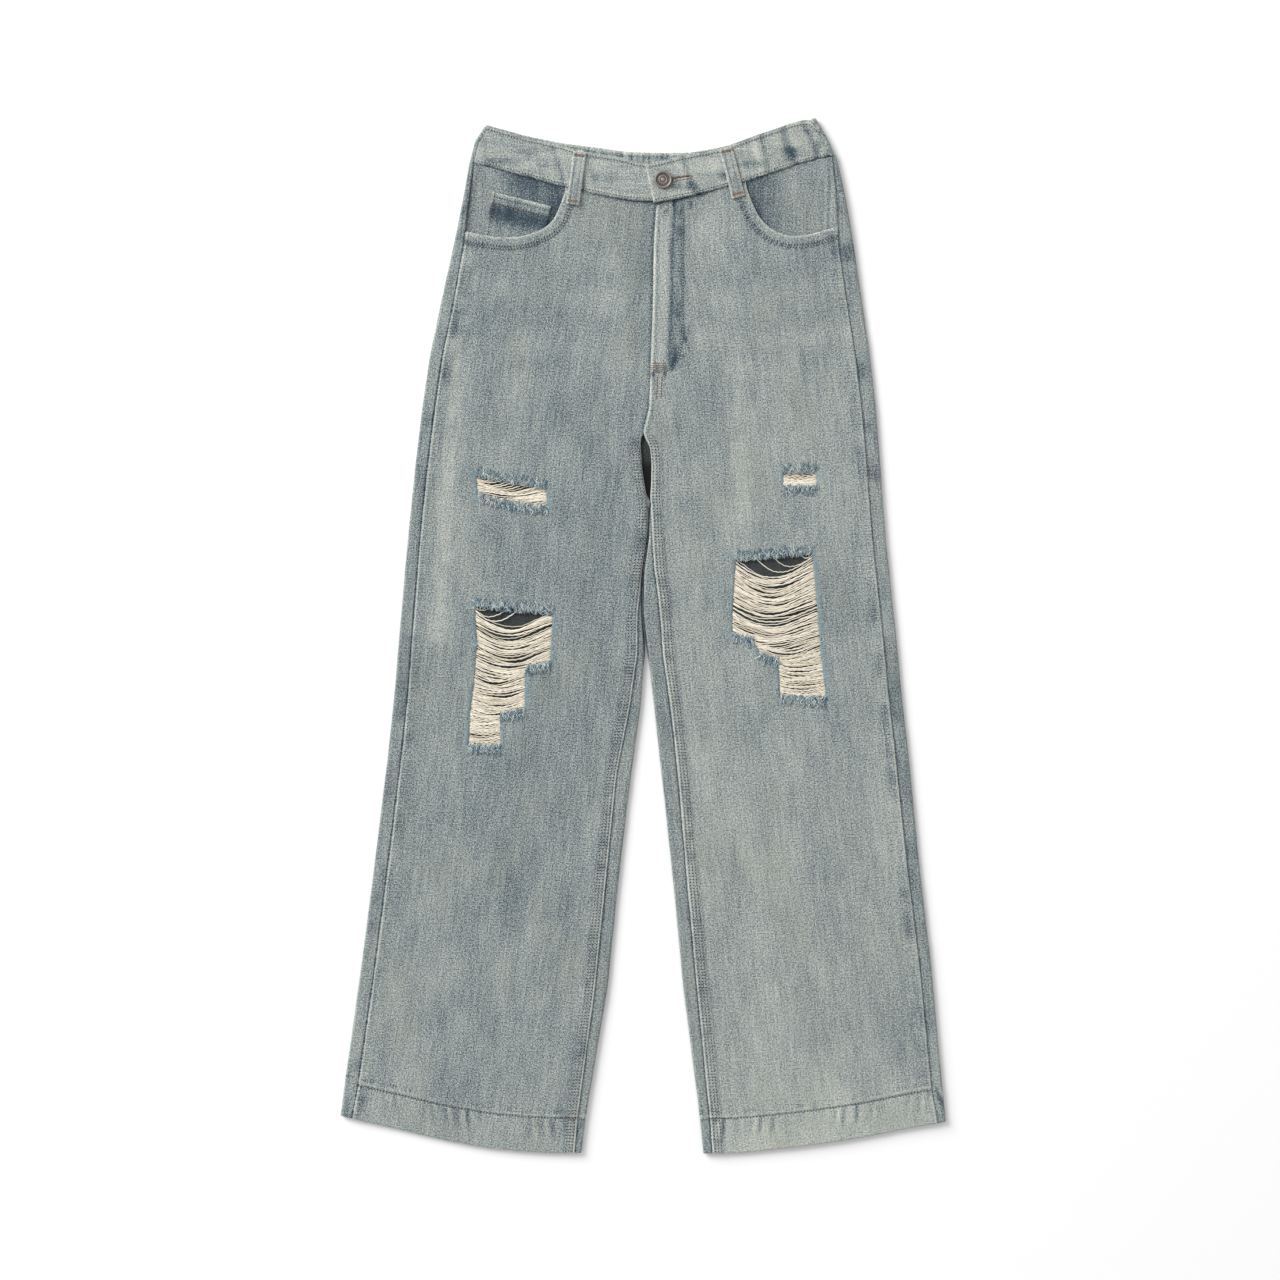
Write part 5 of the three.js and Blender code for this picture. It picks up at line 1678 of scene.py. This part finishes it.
def between_edges(low: Curve, high: Curve, left: Curve, right: Curve, u: Array, v: Array) -> tuple[Array, Array]:
    """Plan of a grid between four measured edges.

    Args:
        low: y of the lower edge at each x.
        high: y of the upper edge at each x.
        left: x of the left end at each y.
        right: x of the right end at each y.
        u: Shares from left to right.
        v: Shares from low to high.

    Returns:
        x and y of the grid, a row for each v.
    """
    share_x, share_y = np.meshgrid(u, v)
    y = np.full(share_x.shape, float(np.mean(low.values)))
    for _ in range(7):
        x = left(y) + share_x * (right(y) - left(y))
        y = low(x) + share_y * (high(x) - low(x))
    return x, y


def band_wear(cloth: Cloth, x: Array, y: Array, from_low: Array, from_high: Array, gathers: float) -> Array:
    """Wear and blotches of a waistband, and the height of its gathers.

    Args:
        cloth: Takes the wear, the depth and the tone.
        x: Distance along the band.
        y: Height across it.
        from_low: Distance from the lower edge.
        from_high: Distance from the upper edge.
        gathers: Usual width of a gather.

    Returns:
        Relief of the band.
    """
    slant = x + 0.25 * from_low + 5 * BROAD.at(x, y, 40, 60)
    fold = np.sin(2 * math.pi * slant / gathers) * 0.6 + np.sin(2 * math.pi * slant / (gathers * 0.57) + 1) * 0.4
    fold = fold * np.clip(0.45 + 0.9 * PATCHY.at(x + 200, 0 * y, 34, 40, 1), 0.05, 1.3)
    blotch = np.maximum(PATCHY.at(x, y, 16, 11, 2), 0)
    pale = np.maximum(PATCHY.at(x + 70, y + 40, 26, 15, 2), 0)
    crimp = FINE.at(x, from_low, 3.2, 8, 1)
    cloth.tone = (-0.14 - 0.0001 * x).ravel()
    cloth.sewn, cloth.along = (0.3 * bell(from_low, 4.5, 3.5)).ravel(), (x * 0.8).ravel()
    cloth.deep = (0.95 * blotch * bell(from_low, 11, 17) - 0.5 * np.minimum(fold, 0)
                  + (0.9 + 0.2 * np.maximum(crimp, 0)) * bell(from_low, 0.4, 0.9)
                  + 0.25 * bell(from_high, 4.6, 1.3) + 0.45 * bell(from_high, 0, 0.9)).ravel()
    cloth.wear = (0.3 * bell(from_high, 1.8, 0.9) + 0.26 * np.maximum(fold, 0) + 0.45 * pale
                  + 0.5 * bell(from_low, 3.4, 0.9)).ravel()
    return 0.34 * fold + 0.3 * crimp * bell(from_low, 2, 4) - 0.38 * bell(from_low, 2.6, 0.9) \
        - 0.28 * bell(from_high, 3.6, 0.9) + 0.2 * bell(from_high, 1.4, 1.2)


@dataclass
class BandFront:
    """Front half of the waistband, a doubled strip gathered on to the panel."""

    side: Side
    finish: bpy.types.Material
    wall: float = 1.9

    def make(self, pale: Needlework, brown: Needlework) -> tuple[Cloth, bpy.types.Object]:
        """Build the band and sew its edges.

        Args:
            pale: Takes the stitches of the edges.
            brown: Takes those of the buttonhole.

        Returns:
            The sheet and the piece.
        """
        node, sign = f"waistband_front_{self.side.word}", self.side.value
        solid = Solid(node)
        nearest_x, farthest_x = np.sort(solid.points[:, 0][[solid.points[:, 0].argmin(), solid.points[:, 0].argmax()]])
        columns = np.arange(nearest_x + 15, farthest_x - 14, 3.0)
        low, high = solid.reach(0, 1, -1, columns, 3), solid.reach(0, 1, 1, columns, 3)
        top = solid.points[:, 1].max()
        outer = solid.reach(1, 0, sign, np.arange(top - 33, top - 3, 2.0), 2)
        end = nearest_x if sign > 0 else farthest_x
        middle = float(low(end) + high(end)) / 2
        inner = solid.reach(1, 0, -sign, np.arange(middle - 13, middle + 13, 2.0), 2)
        left, right = (inner, outer) if sign > 0 else (outer, inner)
        count = int((farthest_x - nearest_x) / 1.25)
        x, y = between_edges(low, high, left, right, np.linspace(0, 1, count), np.linspace(0, 1, 32))
        z = HeightField(solid, blur=1, pitch=2.5)(x, y)
        cloth = Cloth.from_grid(np.stack([x, y, z], axis=-1), np.stack([y, x], axis=-1))
        relief = band_wear(cloth, x, y, y - low(x), high(x) - y, 19.0)
        edge = np.abs(x - (left(y) if sign > 0 else right(y)))
        calm = 1 - 0.7 * bell(np.hypot(x - 18.5, y - 455.5), 0, 14)
        cloth.points[:, 2] += (relief * calm).ravel()
        cloth.wear = cloth.wear + (0.75 * bell(edge, 0.4, 1.1)).ravel()
        cloth.facing(up=True)
        if self.side is Side.LEFT:
            holes = solid.rims()[1:2]
            for hole in holes:
                cloth.trim(hole, keep_inside=False)
        drape = Drape(cloth)
        if self.side is Side.LEFT:
            for offset in (-2.1, 2.1):
                slit = np.array([[26.5, 455.2 + offset], [45.0, 458.9 + offset * 0.7], [47.2, 459.2]])
                brown.row(*drape.line(slit, 0.7), pitch=1.25, cover=0.95, holes=False, width=1.1)
        span = np.linspace(nearest_x + 3, farthest_x - 3, 60)
        for edge_line in (low(span) + 2.8, high(span) - 3.6):
            pale.row(*drape.line(np.stack([span, edge_line], axis=1)), pitch=3.0)
        piece = thick_cloth(f"cloth_{node}", cloth, self.wall, edge_wear=0.2, shade_inside=0.0)
        return cloth, ready(piece, self.finish, "denim", node)


@dataclass
class BandBack:
    """Back of the waistband round both side folds, its gathered inside showing over the front's dip."""

    finish: bpy.types.Material
    fold_radius: float = 2.4
    lift: float = 1.3
    wall: float = 2.0
    strip: float = 1.9
    marks: tuple[float, float] = (-18.5, 27.5)

    def make(self) -> bpy.types.Object:
        """Build the band.

        Returns:
            The piece.
        """
        solid = Solid("waistband_back")
        columns = np.arange(-150.0, 166.0, 4.0)
        low, high = solid.reach(0, 1, -1, columns, 3), solid.reach(0, 1, 1, columns, 3)
        ends = [solid.reach(1, 0, -1, np.arange(478.0, 509.0, 2.0), 2), solid.reach(1, 0, 1, np.arange(483.0, 514.0, 2.0), 2)]
        radius = self.fold_radius
        quarter = math.pi / 2 * radius
        flat = np.linspace(0, 1, 250)
        turn = np.concatenate([[-1.0 - self.strip / quarter], np.linspace(-1, 1, 11)])
        v = np.linspace(0, 1, 30)[:, None]
        y = np.full((30, 1), 480.0) + 0 * flat
        start, finish = (lambda s: ends[0](s) + radius), (lambda s: ends[1](s) - radius)
        for _ in range(7):
            x = start(y) + flat * (finish(y) - start(y))
            y = low(x) + v * (high(x) - low(x))
        z = np.full(x.shape, self.lift)
        normal = np.stack([0 * x, 0 * x, 0 * x - 1], axis=-1)
        wraps = []
        for sign, column in ((-1, 0), (1, -1)):
            edge_y = y[:, column:column + 1] if column == 0 else y[:, -1:]
            centre = ends[0](edge_y) + radius if sign < 0 else ends[1](edge_y) - radius
            angle = np.clip(turn[:-1], -1, 1)[None, :] * math.pi / 2
            over = np.maximum(-turn[:-1] - 1, 0)[None, :] * quarter
            wrap_x = centre + sign * radius * np.cos(angle) - sign * over
            wrap_z = self.lift + radius - radius * np.sin(angle)
            wrap_y = low(wrap_x) + v * (high(wrap_x) - low(wrap_x))
            side_normal = np.stack([sign * np.cos(angle) + 0 * wrap_x, 0 * wrap_x, -np.sin(angle) + 0 * wrap_x], axis=-1)
            wrap = (np.stack([wrap_x, wrap_y, wrap_z + 0 * wrap_x], axis=-1), side_normal)
            wraps.append(wrap if sign < 0 else tuple(part[:, ::-1] for part in wrap))
        points = np.concatenate([wraps[0][0], np.stack([x, y, z], axis=-1), wraps[1][0]], axis=1)
        normal = np.concatenate([wraps[0][1], normal, wraps[1][1]], axis=1)
        steps = np.linalg.norm(np.diff(points, axis=1), axis=2)
        along = np.concatenate([np.zeros((30, 1)), np.cumsum(steps, axis=1)], axis=1)
        px, py = points[..., 0], points[..., 1]
        cloth = Cloth.from_grid(points, np.stack([py, along], axis=-1))
        from_low, from_high = py - low(px), high(px) - py
        slant = px + 2.5 * BROAD.at(px, py, 14, 30)
        crimp = np.sin(2 * math.pi * slant / 5.3) * 0.6 + FINE.at(px, py, 3.1, 20, 1) * 0.7
        inside_flat = ease(0.6, 1.0, -normal[..., 2])
        mark = sum(bell(px, place, 1.6) for place in self.marks)
        cloth.deep = (0.3 * np.maximum(-crimp, 0) * inside_flat + 0.3 * bell(from_high, 4.5, 1.2)
                      + 0.4 * np.maximum(PATCHY.at(px, py, 14, 12), 0)).ravel()
        cloth.wear = (0.3 * np.maximum(crimp, 0) * inside_flat + 1.0 * bell(from_high, 0.5, 1.6) + 0.8 * mark
                      + 0.3 * bell(from_high, 8, 3)).ravel()
        wall = self.wall + inside_flat * (0.34 * (crimp + 1.0) * ease(0, 5, from_high) + 0.3 * mark)
        cloth.points = cloth.points.reshape(-1, 3)
        if (cloth.normals() * normal.reshape(-1, 3)).sum() < 0:
            cloth.faces = cloth.faces[:, ::-1]
        piece = thick_cloth("cloth_waistband_back", cloth, wall.ravel(), shade_inside=0.0)
        return ready(piece, self.finish, "denim", "waistband_back")


@dataclass
class BeltLoop:
    """A folded strip sewn down at both ends."""

    node: str
    finish: bpy.types.Material
    up: int = 1
    wall: float = 1.5

    def make(self, brown: Needlework) -> bpy.types.Object:
        """Build the loop and tack its ends.

        Args:
            brown: Takes the bar tacks.

        Returns:
            The piece.
        """
        solid = Solid(self.node)
        outline = solid.rims()[0]
        centre = (outline.max(axis=0) + outline.min(axis=0)) / 2
        _, _, axes = np.linalg.svd(resample(np.vstack([outline, outline[:1]]), 1.0) - centre)
        along = axes[0] * (1 if axes[0][1] > 0 else -1)
        across = np.array([along[1], -along[0]])
        half_length = np.abs((outline - centre) @ along).max()
        half_width = np.abs((outline - centre) @ across).max()
        u, v = np.meshgrid(np.linspace(-1, 1, 17), np.linspace(-1, 1, 60))
        plan = centre + (u * half_width)[..., None] * across + (v * half_length)[..., None] * along
        x, y = plan[..., 0], plan[..., 1]
        z = HeightField(solid, blur=1, sign=self.up, pitch=2.5)(x, y)
        from_edge = (1 - np.abs(u)) * half_width
        from_end = (1 - np.abs(v)) * half_length
        crimp = FINE.at(v * half_length + centre[0], u, 4, 3)
        lift = (0.32 * bell(from_edge, 1.6, 1.3) - 0.3 * bell(from_edge, 0, 0.8) - 0.24 * bell(from_edge, 3.4, 0.8)
                + 0.12 * crimp - 0.25 * bell(from_end, 0, 0.8) - 0.3 * bell(from_end, 4.0, 1.4))
        if self.up < 0:
            lift = np.minimum(lift, 0) * 0.6
        cloth = Cloth.from_grid(np.stack([x, y, z + self.up * lift], axis=-1),
                                np.stack([u * half_width, v * half_length], axis=-1))
        cloth.wear = (0.5 * bell(from_edge, 1.0, 1.0) + 0.35 * bell(from_end, 0.6, 1.2) + 0.36
                      + 0.25 * np.maximum(crimp, 0)).ravel()
        cloth.deep = (0.4 * bell(from_edge, 3.4, 1.0) + 0.3 * np.maximum(-crimp, 0)).ravel()
        cloth.facing(up=self.up > 0)
        piece = thick_cloth(f"cloth_{self.node}", cloth, self.wall if self.up > 0 else 0.8, edge_wear=0.1,
                            shade_inside=0.0)
        drape = Drape(cloth)
        if self.up > 0:
            slope = math.degrees(math.atan2(across[1], across[0]))
            for end in (1, -1):
                middle = centre + along * end * (half_length - 3.6)
                brown.tack(drape, tuple(middle), slope, 2 * half_width - 3.0, 1.8, lines=3)
        return ready(piece, self.finish, "denim", self.node)


@dataclass
class WaistButton:
    """Fastened shank button: a rolled rim, a sunk ring of dots and a low dome."""

    finish: bpy.types.Material
    segments: int = 72
    dots: int = 26

    PROFILE = ((0, 4.05, 0.9), (1.2, 4.05, 1.0), (2.0, 3.85, 0.6), (2.3, 3.45, 0.1), (2.9, 3.4, 0.0),
               (3.3, 3.75, 0.7), (3.8, 3.9, 1.0), (4.3, 3.75, 0.6), (4.6, 3.35, 0.1), (6.4, 3.3, 0.1),
               (6.8, 3.75, 0.6), (7.3, 4.5, 1.0), (7.9, 4.8, 1.1), (8.4, 4.55, 0.8), (8.75, 3.9, 0.4),
               (8.8, 3.2, 0.2), (8.5, 2.6, 0.1), (7.6, 2.3, 0.0), (3.0, 2.3, 0.0), (2.9, 0.1, 0.0), (0, 0.1, 0.0))

    def make(self) -> bpy.types.Object:
        """Build the button.

        Returns:
            The piece.
        """
        low, high = (np.array(corner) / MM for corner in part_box("waist_button"))
        centre = (low + high) / 2
        profile = np.array(self.PROFILE)
        angle = np.arange(self.segments) * 2 * math.pi / self.segments
        rings, wear = [], []
        for radius, height, shine in profile:
            radius = max(radius, 0.02)
            rings.append(np.stack([radius * np.cos(angle), radius * np.sin(angle), np.full_like(angle, height)], axis=1))
            wear.append(np.full(self.segments, shine))
        points = [np.concatenate(rings)]
        step = np.arange(self.segments)
        other = (step + 1) % self.segments
        faces = []
        for row in range(len(profile) - 1):
            here, below = row * self.segments, (row + 1) * self.segments
            faces.append(np.stack([here + step, below + step, below + other, here + other], axis=1).tolist())
        faces.append([step.tolist(), (step[::-1] + (len(profile) - 1) * self.segments).tolist()])
        count = len(profile) * self.segments
        small = np.arange(8) * math.pi / 4
        for dot in range(self.dots):
            turn = dot * 2 * math.pi / self.dots
            middle = np.array([5.5 * math.cos(turn), 5.5 * math.sin(turn), 3.2])
            body = [middle + np.array([r * math.cos(a), r * math.sin(a), h])
                    for r, h in ((0.44, 0.0), (0.36, 0.3)) for a in small]
            points.append(np.array(body + [middle + np.array([0, 0, 0.42])]))
            sides = [[count + i, count + (i + 1) % 8, count + 8 + (i + 1) % 8, count + 8 + i] for i in range(8)]
            cap = [[count + 8 + i, count + 8 + (i + 1) % 8, count + 16] for i in range(8)]
            faces.append(sides + cap + [[count + i for i in range(7, -1, -1)]])
            wear.append(np.full(17, 0.95))
            count += 17
        body = np.concatenate(points) + np.array([centre[0], centre[1], low[2]])
        piece = new_object("aged_waist_button", body, [face for group in faces for face in group],
                           {"wear": np.concatenate(wear)})
        return ready(piece, self.finish, "button_metal", "waist_button")


# ---- Rips ----------------------------------------------------------------------------------------
@dataclass
class Rip:
    """A worn-through place: bared cross threads that sag, and frayed ends above and below."""

    name: str
    leg: Leg
    outline: Array
    sag_top: float
    sag_foot: float
    seed: int
    pitch: float = 1.02
    radius: float = 0.54
    lowest: float = 0.46
    sag_power: float = 0.9

    def threads(self) -> tuple[list[Array], list[Array]]:
        """Lines and radii of the cross threads."""
        rng = np.random.default_rng(self.seed)
        low, high = self.outline[:, 1].min(), self.outline[:, 1].max()
        paths, radii = [], []
        share = np.linspace(0, 1, 26)
        for level in np.arange(low + 0.4, high - 0.6, self.pitch):
            spans = self._spans(level + rng.uniform(-0.3, 0.3))
            height = (level - low) / (high - low)
            if self.sag_top > 8 and rng.random() < 0.02 + 0.2 * height**2:
                continue
            for left, right in spans:
                x = left - 1.6 + (right - left + 3.2) * share
                sag = (self.sag_foot + (self.sag_top - self.sag_foot) * height**self.sag_power) * rng.uniform(0.8, 1.12)
                sag *= min(1.0, (right - left) / 60)
                skew = share ** (math.log(0.5) / math.log(self.lowest + rng.uniform(-0.03, 0.03)))
                shape = np.sin(math.pi * skew) ** rng.uniform(1.0, 1.35)
                bunch = 1.9 * FINE.at(x, np.full_like(x, level), 26, 5.0, 2) * np.sin(math.pi * share)
                bunch = bunch + 0.28 * np.sin(x * rng.uniform(0.8, 1.3) + rng.uniform(0, 6))
                y = level - sag * shape + bunch
                y = np.maximum(y, low - 0.8 + 0.5 * rng.random())
                z = self.leg.front_height(x, y) - 1.0 + 0.6 * FINE.at(x * 0.5, y, 12, 1.6) + 0.35 * rng.random()
                z = z - 0.5 * ease(0.08, 0.0, share) - 0.5 * ease(0.92, 1.0, share)
                paths.append(np.stack([x, y, z], axis=1))
                radii.append(np.full(len(x), self.radius * rng.uniform(0.75, 1.25)))
        return paths, radii

    def _spans(self, level: float) -> list[tuple[float, float]]:
        """Left and right ends of the opening at a height."""
        found = []
        for (x0, y0), (x1, y1) in zip(self.outline, np.roll(self.outline, -1, axis=0)):
            if (y0 > level) != (y1 > level):
                found.append(x0 + (level - y0) / (y1 - y0) * (x1 - x0))
        found.sort()
        return list(zip(found[0::2], found[1::2]))

    def fringe(self) -> tuple[list[Array], list[Array]]:
        """Lines and radii of the frayed ends along the upper and lower edges."""
        rng = np.random.default_rng(self.seed + 100)
        ring = self.outline if _turns_left(self.outline) else self.outline[::-1]
        ring = resample(np.vstack([ring, ring[:1]]), 0.62)
        run = np.gradient(ring, axis=0)
        run /= np.linalg.norm(run, axis=1, keepdims=True)
        paths, radii = [], []
        for (x, y), (run_x, _) in zip(ring, run):
            if abs(run_x) < 0.55:
                continue
            away = 1.0 if run_x < 0 else -1.0
            for _ in range(3):
                start = rng.uniform(-1.5, 6.0)
                length = rng.uniform(2.5, 7.5)
                share = np.linspace(0, 1, 6)
                lean = rng.normal(0, 2.0)
                curl = rng.uniform(0.4, 1.3) * np.sin(share * rng.uniform(3, 9) + rng.uniform(0, 6))
                px = x + rng.uniform(-0.5, 0.5) + lean * share + curl
                py = y + away * (start + length * share - 3.0)
                pz = self.leg.front_height(px, py) + 0.35 + 0.8 * rng.random() * np.sin(math.pi * share)
                pz = pz - 0.25 * ease(0.75, 1.0, share)
                paths.append(np.stack([px, py, pz], axis=1))
                radii.append(np.linspace(1.0, 0.7, 6) * rng.uniform(0.24, 0.42))
        return paths, radii


def _turns_left(outline: Array) -> bool:
    """Whether a closed outline runs round its inside on the left."""
    following = np.roll(outline, -1, axis=0)
    return float((outline[:, 0] * following[:, 1] - following[:, 0] * outline[:, 1]).sum()) > 0


def thread_piece(name: str, paths: list[Array], radii: list[Array], sides: int, finish: bpy.types.Material,
                 seed: int, bias: float, *stands_for: str) -> bpy.types.Object:
    """Loose threads as one piece, each of its own shade.

    Args:
        name: Name of the piece.
        paths: Their lines.
        radii: Their radii.
        sides: Sides of a thread.
        finish: Its material.
        seed: Picks the shades.
        bias: Over 1 for more threads of the finish's first colour.
        stands_for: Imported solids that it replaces.

    Returns:
        The piece.
    """
    points, faces, owner = tubes(paths, radii, sides)
    shade = np.random.default_rng(seed).random(len(paths)) ** bias
    values = {"strand": shade[owner], "hole": np.zeros(len(points))}
    return ready(new_object(name, points, clean_faces(faces), values), finish, "thread", *stands_for)


# ---- Studio --------------------------------------------------------------------------------------
@dataclass
class Studio:
    """White sweep, soft light from the upper left, and a camera straight above."""

    aim: tuple[float, float] = (-0.0045, -0.0035)
    frame_width: float = 1.28
    lens: float = 85.0
    sensor: float = 36.0

    def make(self) -> None:
        """Place the floor, the lights and the camera."""
        mesh = bpy.data.meshes.new("floor")
        reach = 4.0
        mesh.from_pydata([(-reach, -reach, -0.0005), (reach, -reach, -0.0005), (reach, reach, -0.0005),
                          (-reach, reach, -0.0005)], [], [(0, 1, 2, 3)])
        floor = bpy.data.objects.new("floor", mesh)
        bpy.context.collection.objects.link(floor)
        floor.data.materials.append(PaleFloor().build())
        world = bpy.data.worlds.new("soft_room")
        world.use_nodes = True
        world.node_tree.nodes["Background"].inputs["Color"].default_value = (1.0, 1.0, 1.0, 1.0)
        world.node_tree.nodes["Background"].inputs["Strength"].default_value = 0.62
        bpy.context.scene.world = world
        self._light("key", (-5.1, 4.05, 3.45), 4.5, 650.0)
        view = bpy.data.cameras.new("view")
        view.lens = self.lens
        view.sensor_width = self.sensor
        camera = bpy.data.objects.new("view", view)
        camera.location = (*self.aim, self.frame_width * self.lens / self.sensor)
        bpy.context.collection.objects.link(camera)
        bpy.context.scene.camera = camera
        bpy.context.scene.view_settings.view_transform = "Standard"

    def _light(self, name: str, place: tuple[float, float, float], size: float, power: float) -> None:
        """A square soft light turned to the middle of the floor."""
        light = bpy.data.lights.new(name, "AREA")
        light.size = size
        light.energy = power
        lamp = bpy.data.objects.new(name, light)
        lamp.location = place
        lamp.rotation_euler = (-Vector(place)).to_track_quat("-Z", "Y").to_euler()
        bpy.context.collection.objects.link(lamp)


# ---- The garment ---------------------------------------------------------------------------------
@dataclass
class Palette:
    """Finishes of the garment."""

    denim: bpy.types.Material = field(default_factory=lambda: Denim("washed_denim").build())
    facing: bpy.types.Material = field(default_factory=lambda: Denim("shaded_denim", base=0.62, contrast=1.1).build())
    coin: bpy.types.Material = field(default_factory=lambda: Denim("deep_denim", base=0.71, contrast=1.15).build())
    pale: bpy.types.Material = field(
        default_factory=lambda: Thread("pale_thread", srgb(146, 154, 157), srgb(190, 192, 184)).build())
    brown: bpy.types.Material = field(
        default_factory=lambda: Thread("brown_thread", srgb(120, 92, 80), srgb(172, 144, 126)).build())
    weft: bpy.types.Material = field(
        default_factory=lambda: Thread("bared_weft", srgb(216, 204, 182), srgb(246, 240, 226)).build())
    fray: bpy.types.Material = field(
        default_factory=lambda: Thread("frayed_ends", srgb(56, 104, 128), srgb(234, 238, 232)).build())
    bronze: bpy.types.Material = field(default_factory=lambda: AgedBronze("aged_bronze").build())


@dataclass(frozen=True)
class Cut:
    """Flat cut of the cloth that shows in a piece, in metres, and what the piece lies on."""

    width: float
    length: float
    area: float
    on: tuple[str, ...]


def main() -> None:
    """Build the garment piece by piece."""
    logging.basicConfig(level=logging.INFO, format="%(message)s")
    Studio().make()
    palette = Palette()
    pale = Needlework("pale_stitching", palette.pale, seed=5)
    brown = Needlework("brown_stitching", palette.brown, seed=6, width=0.6)
    hidden = Needlework("back_stitching", palette.pale, seed=7)
    rip_facts = {
        "thigh_right": (9.0, 2.0, 21), "thigh_left": (3.0, 1.0, 22),
        "knee_right": (16.0, 2.0, 23), "knee_left": (20.0, 3.0, 24),
    }
    threads: dict[str, list[bpy.types.Object]] = {}
    for side in Side:
        leg = Leg(side)
        rips = {name: Solid(f"rip_threads_{name}").rims()[0] for name in rip_facts if name.endswith(side.word)}
        holes = Solid(f"front_panel_{side.word}").rims()[1:]
        front = FrontPanel(leg, leg.mouth(), holes, palette.denim)
        front.make(pale, brown)
        back = BackPanel(leg, palette.denim)
        back.make()
        back.sew(hidden)
        PocketFacing(side, palette.facing).make()
        BackPocket(side, palette.denim).make(hidden)
        BandFront(side, palette.denim).make(pale, brown)
        BeltLoop(f"belt_loop_front_{side.word}", palette.denim).make(brown)
        BeltLoop(f"belt_loop_back_{side.word}", palette.denim, up=-1).make(brown)
        for name, outline in rips.items():
            sag_top, sag_foot, seed = rip_facts[name]
            rip = Rip(name, leg, outline, sag_top, sag_foot, seed)
            bared = thread_piece(f"bared_threads_{name}", *rip.threads(), 5, palette.weft, seed, 1.0,
                                 f"rip_threads_{name}")
            frayed = thread_piece(f"frayed_edge_{name}", *rip.fringe(), 3, palette.fray, seed + 50, 1.25)
            threads.setdefault(f"cloth_front_{side.word}", []).extend([bared, frayed])
    BandBack(palette.denim).make()
    BeltLoop("belt_loop_back_centre", palette.denim, up=-1).make(brown)
    CoinPocket(palette.coin).make(brown, pale)
    WaistButton(palette.bronze).make()
    facing = patch("fly_facing", 2.0)
    ready(thick_cloth("cloth_fly_facing", facing, 0.9), palette.facing, "denim_facing", "fly_facing")
    for needle in (pale, brown, hidden):
        needle.make()


if __name__ == "__main__":
    main()
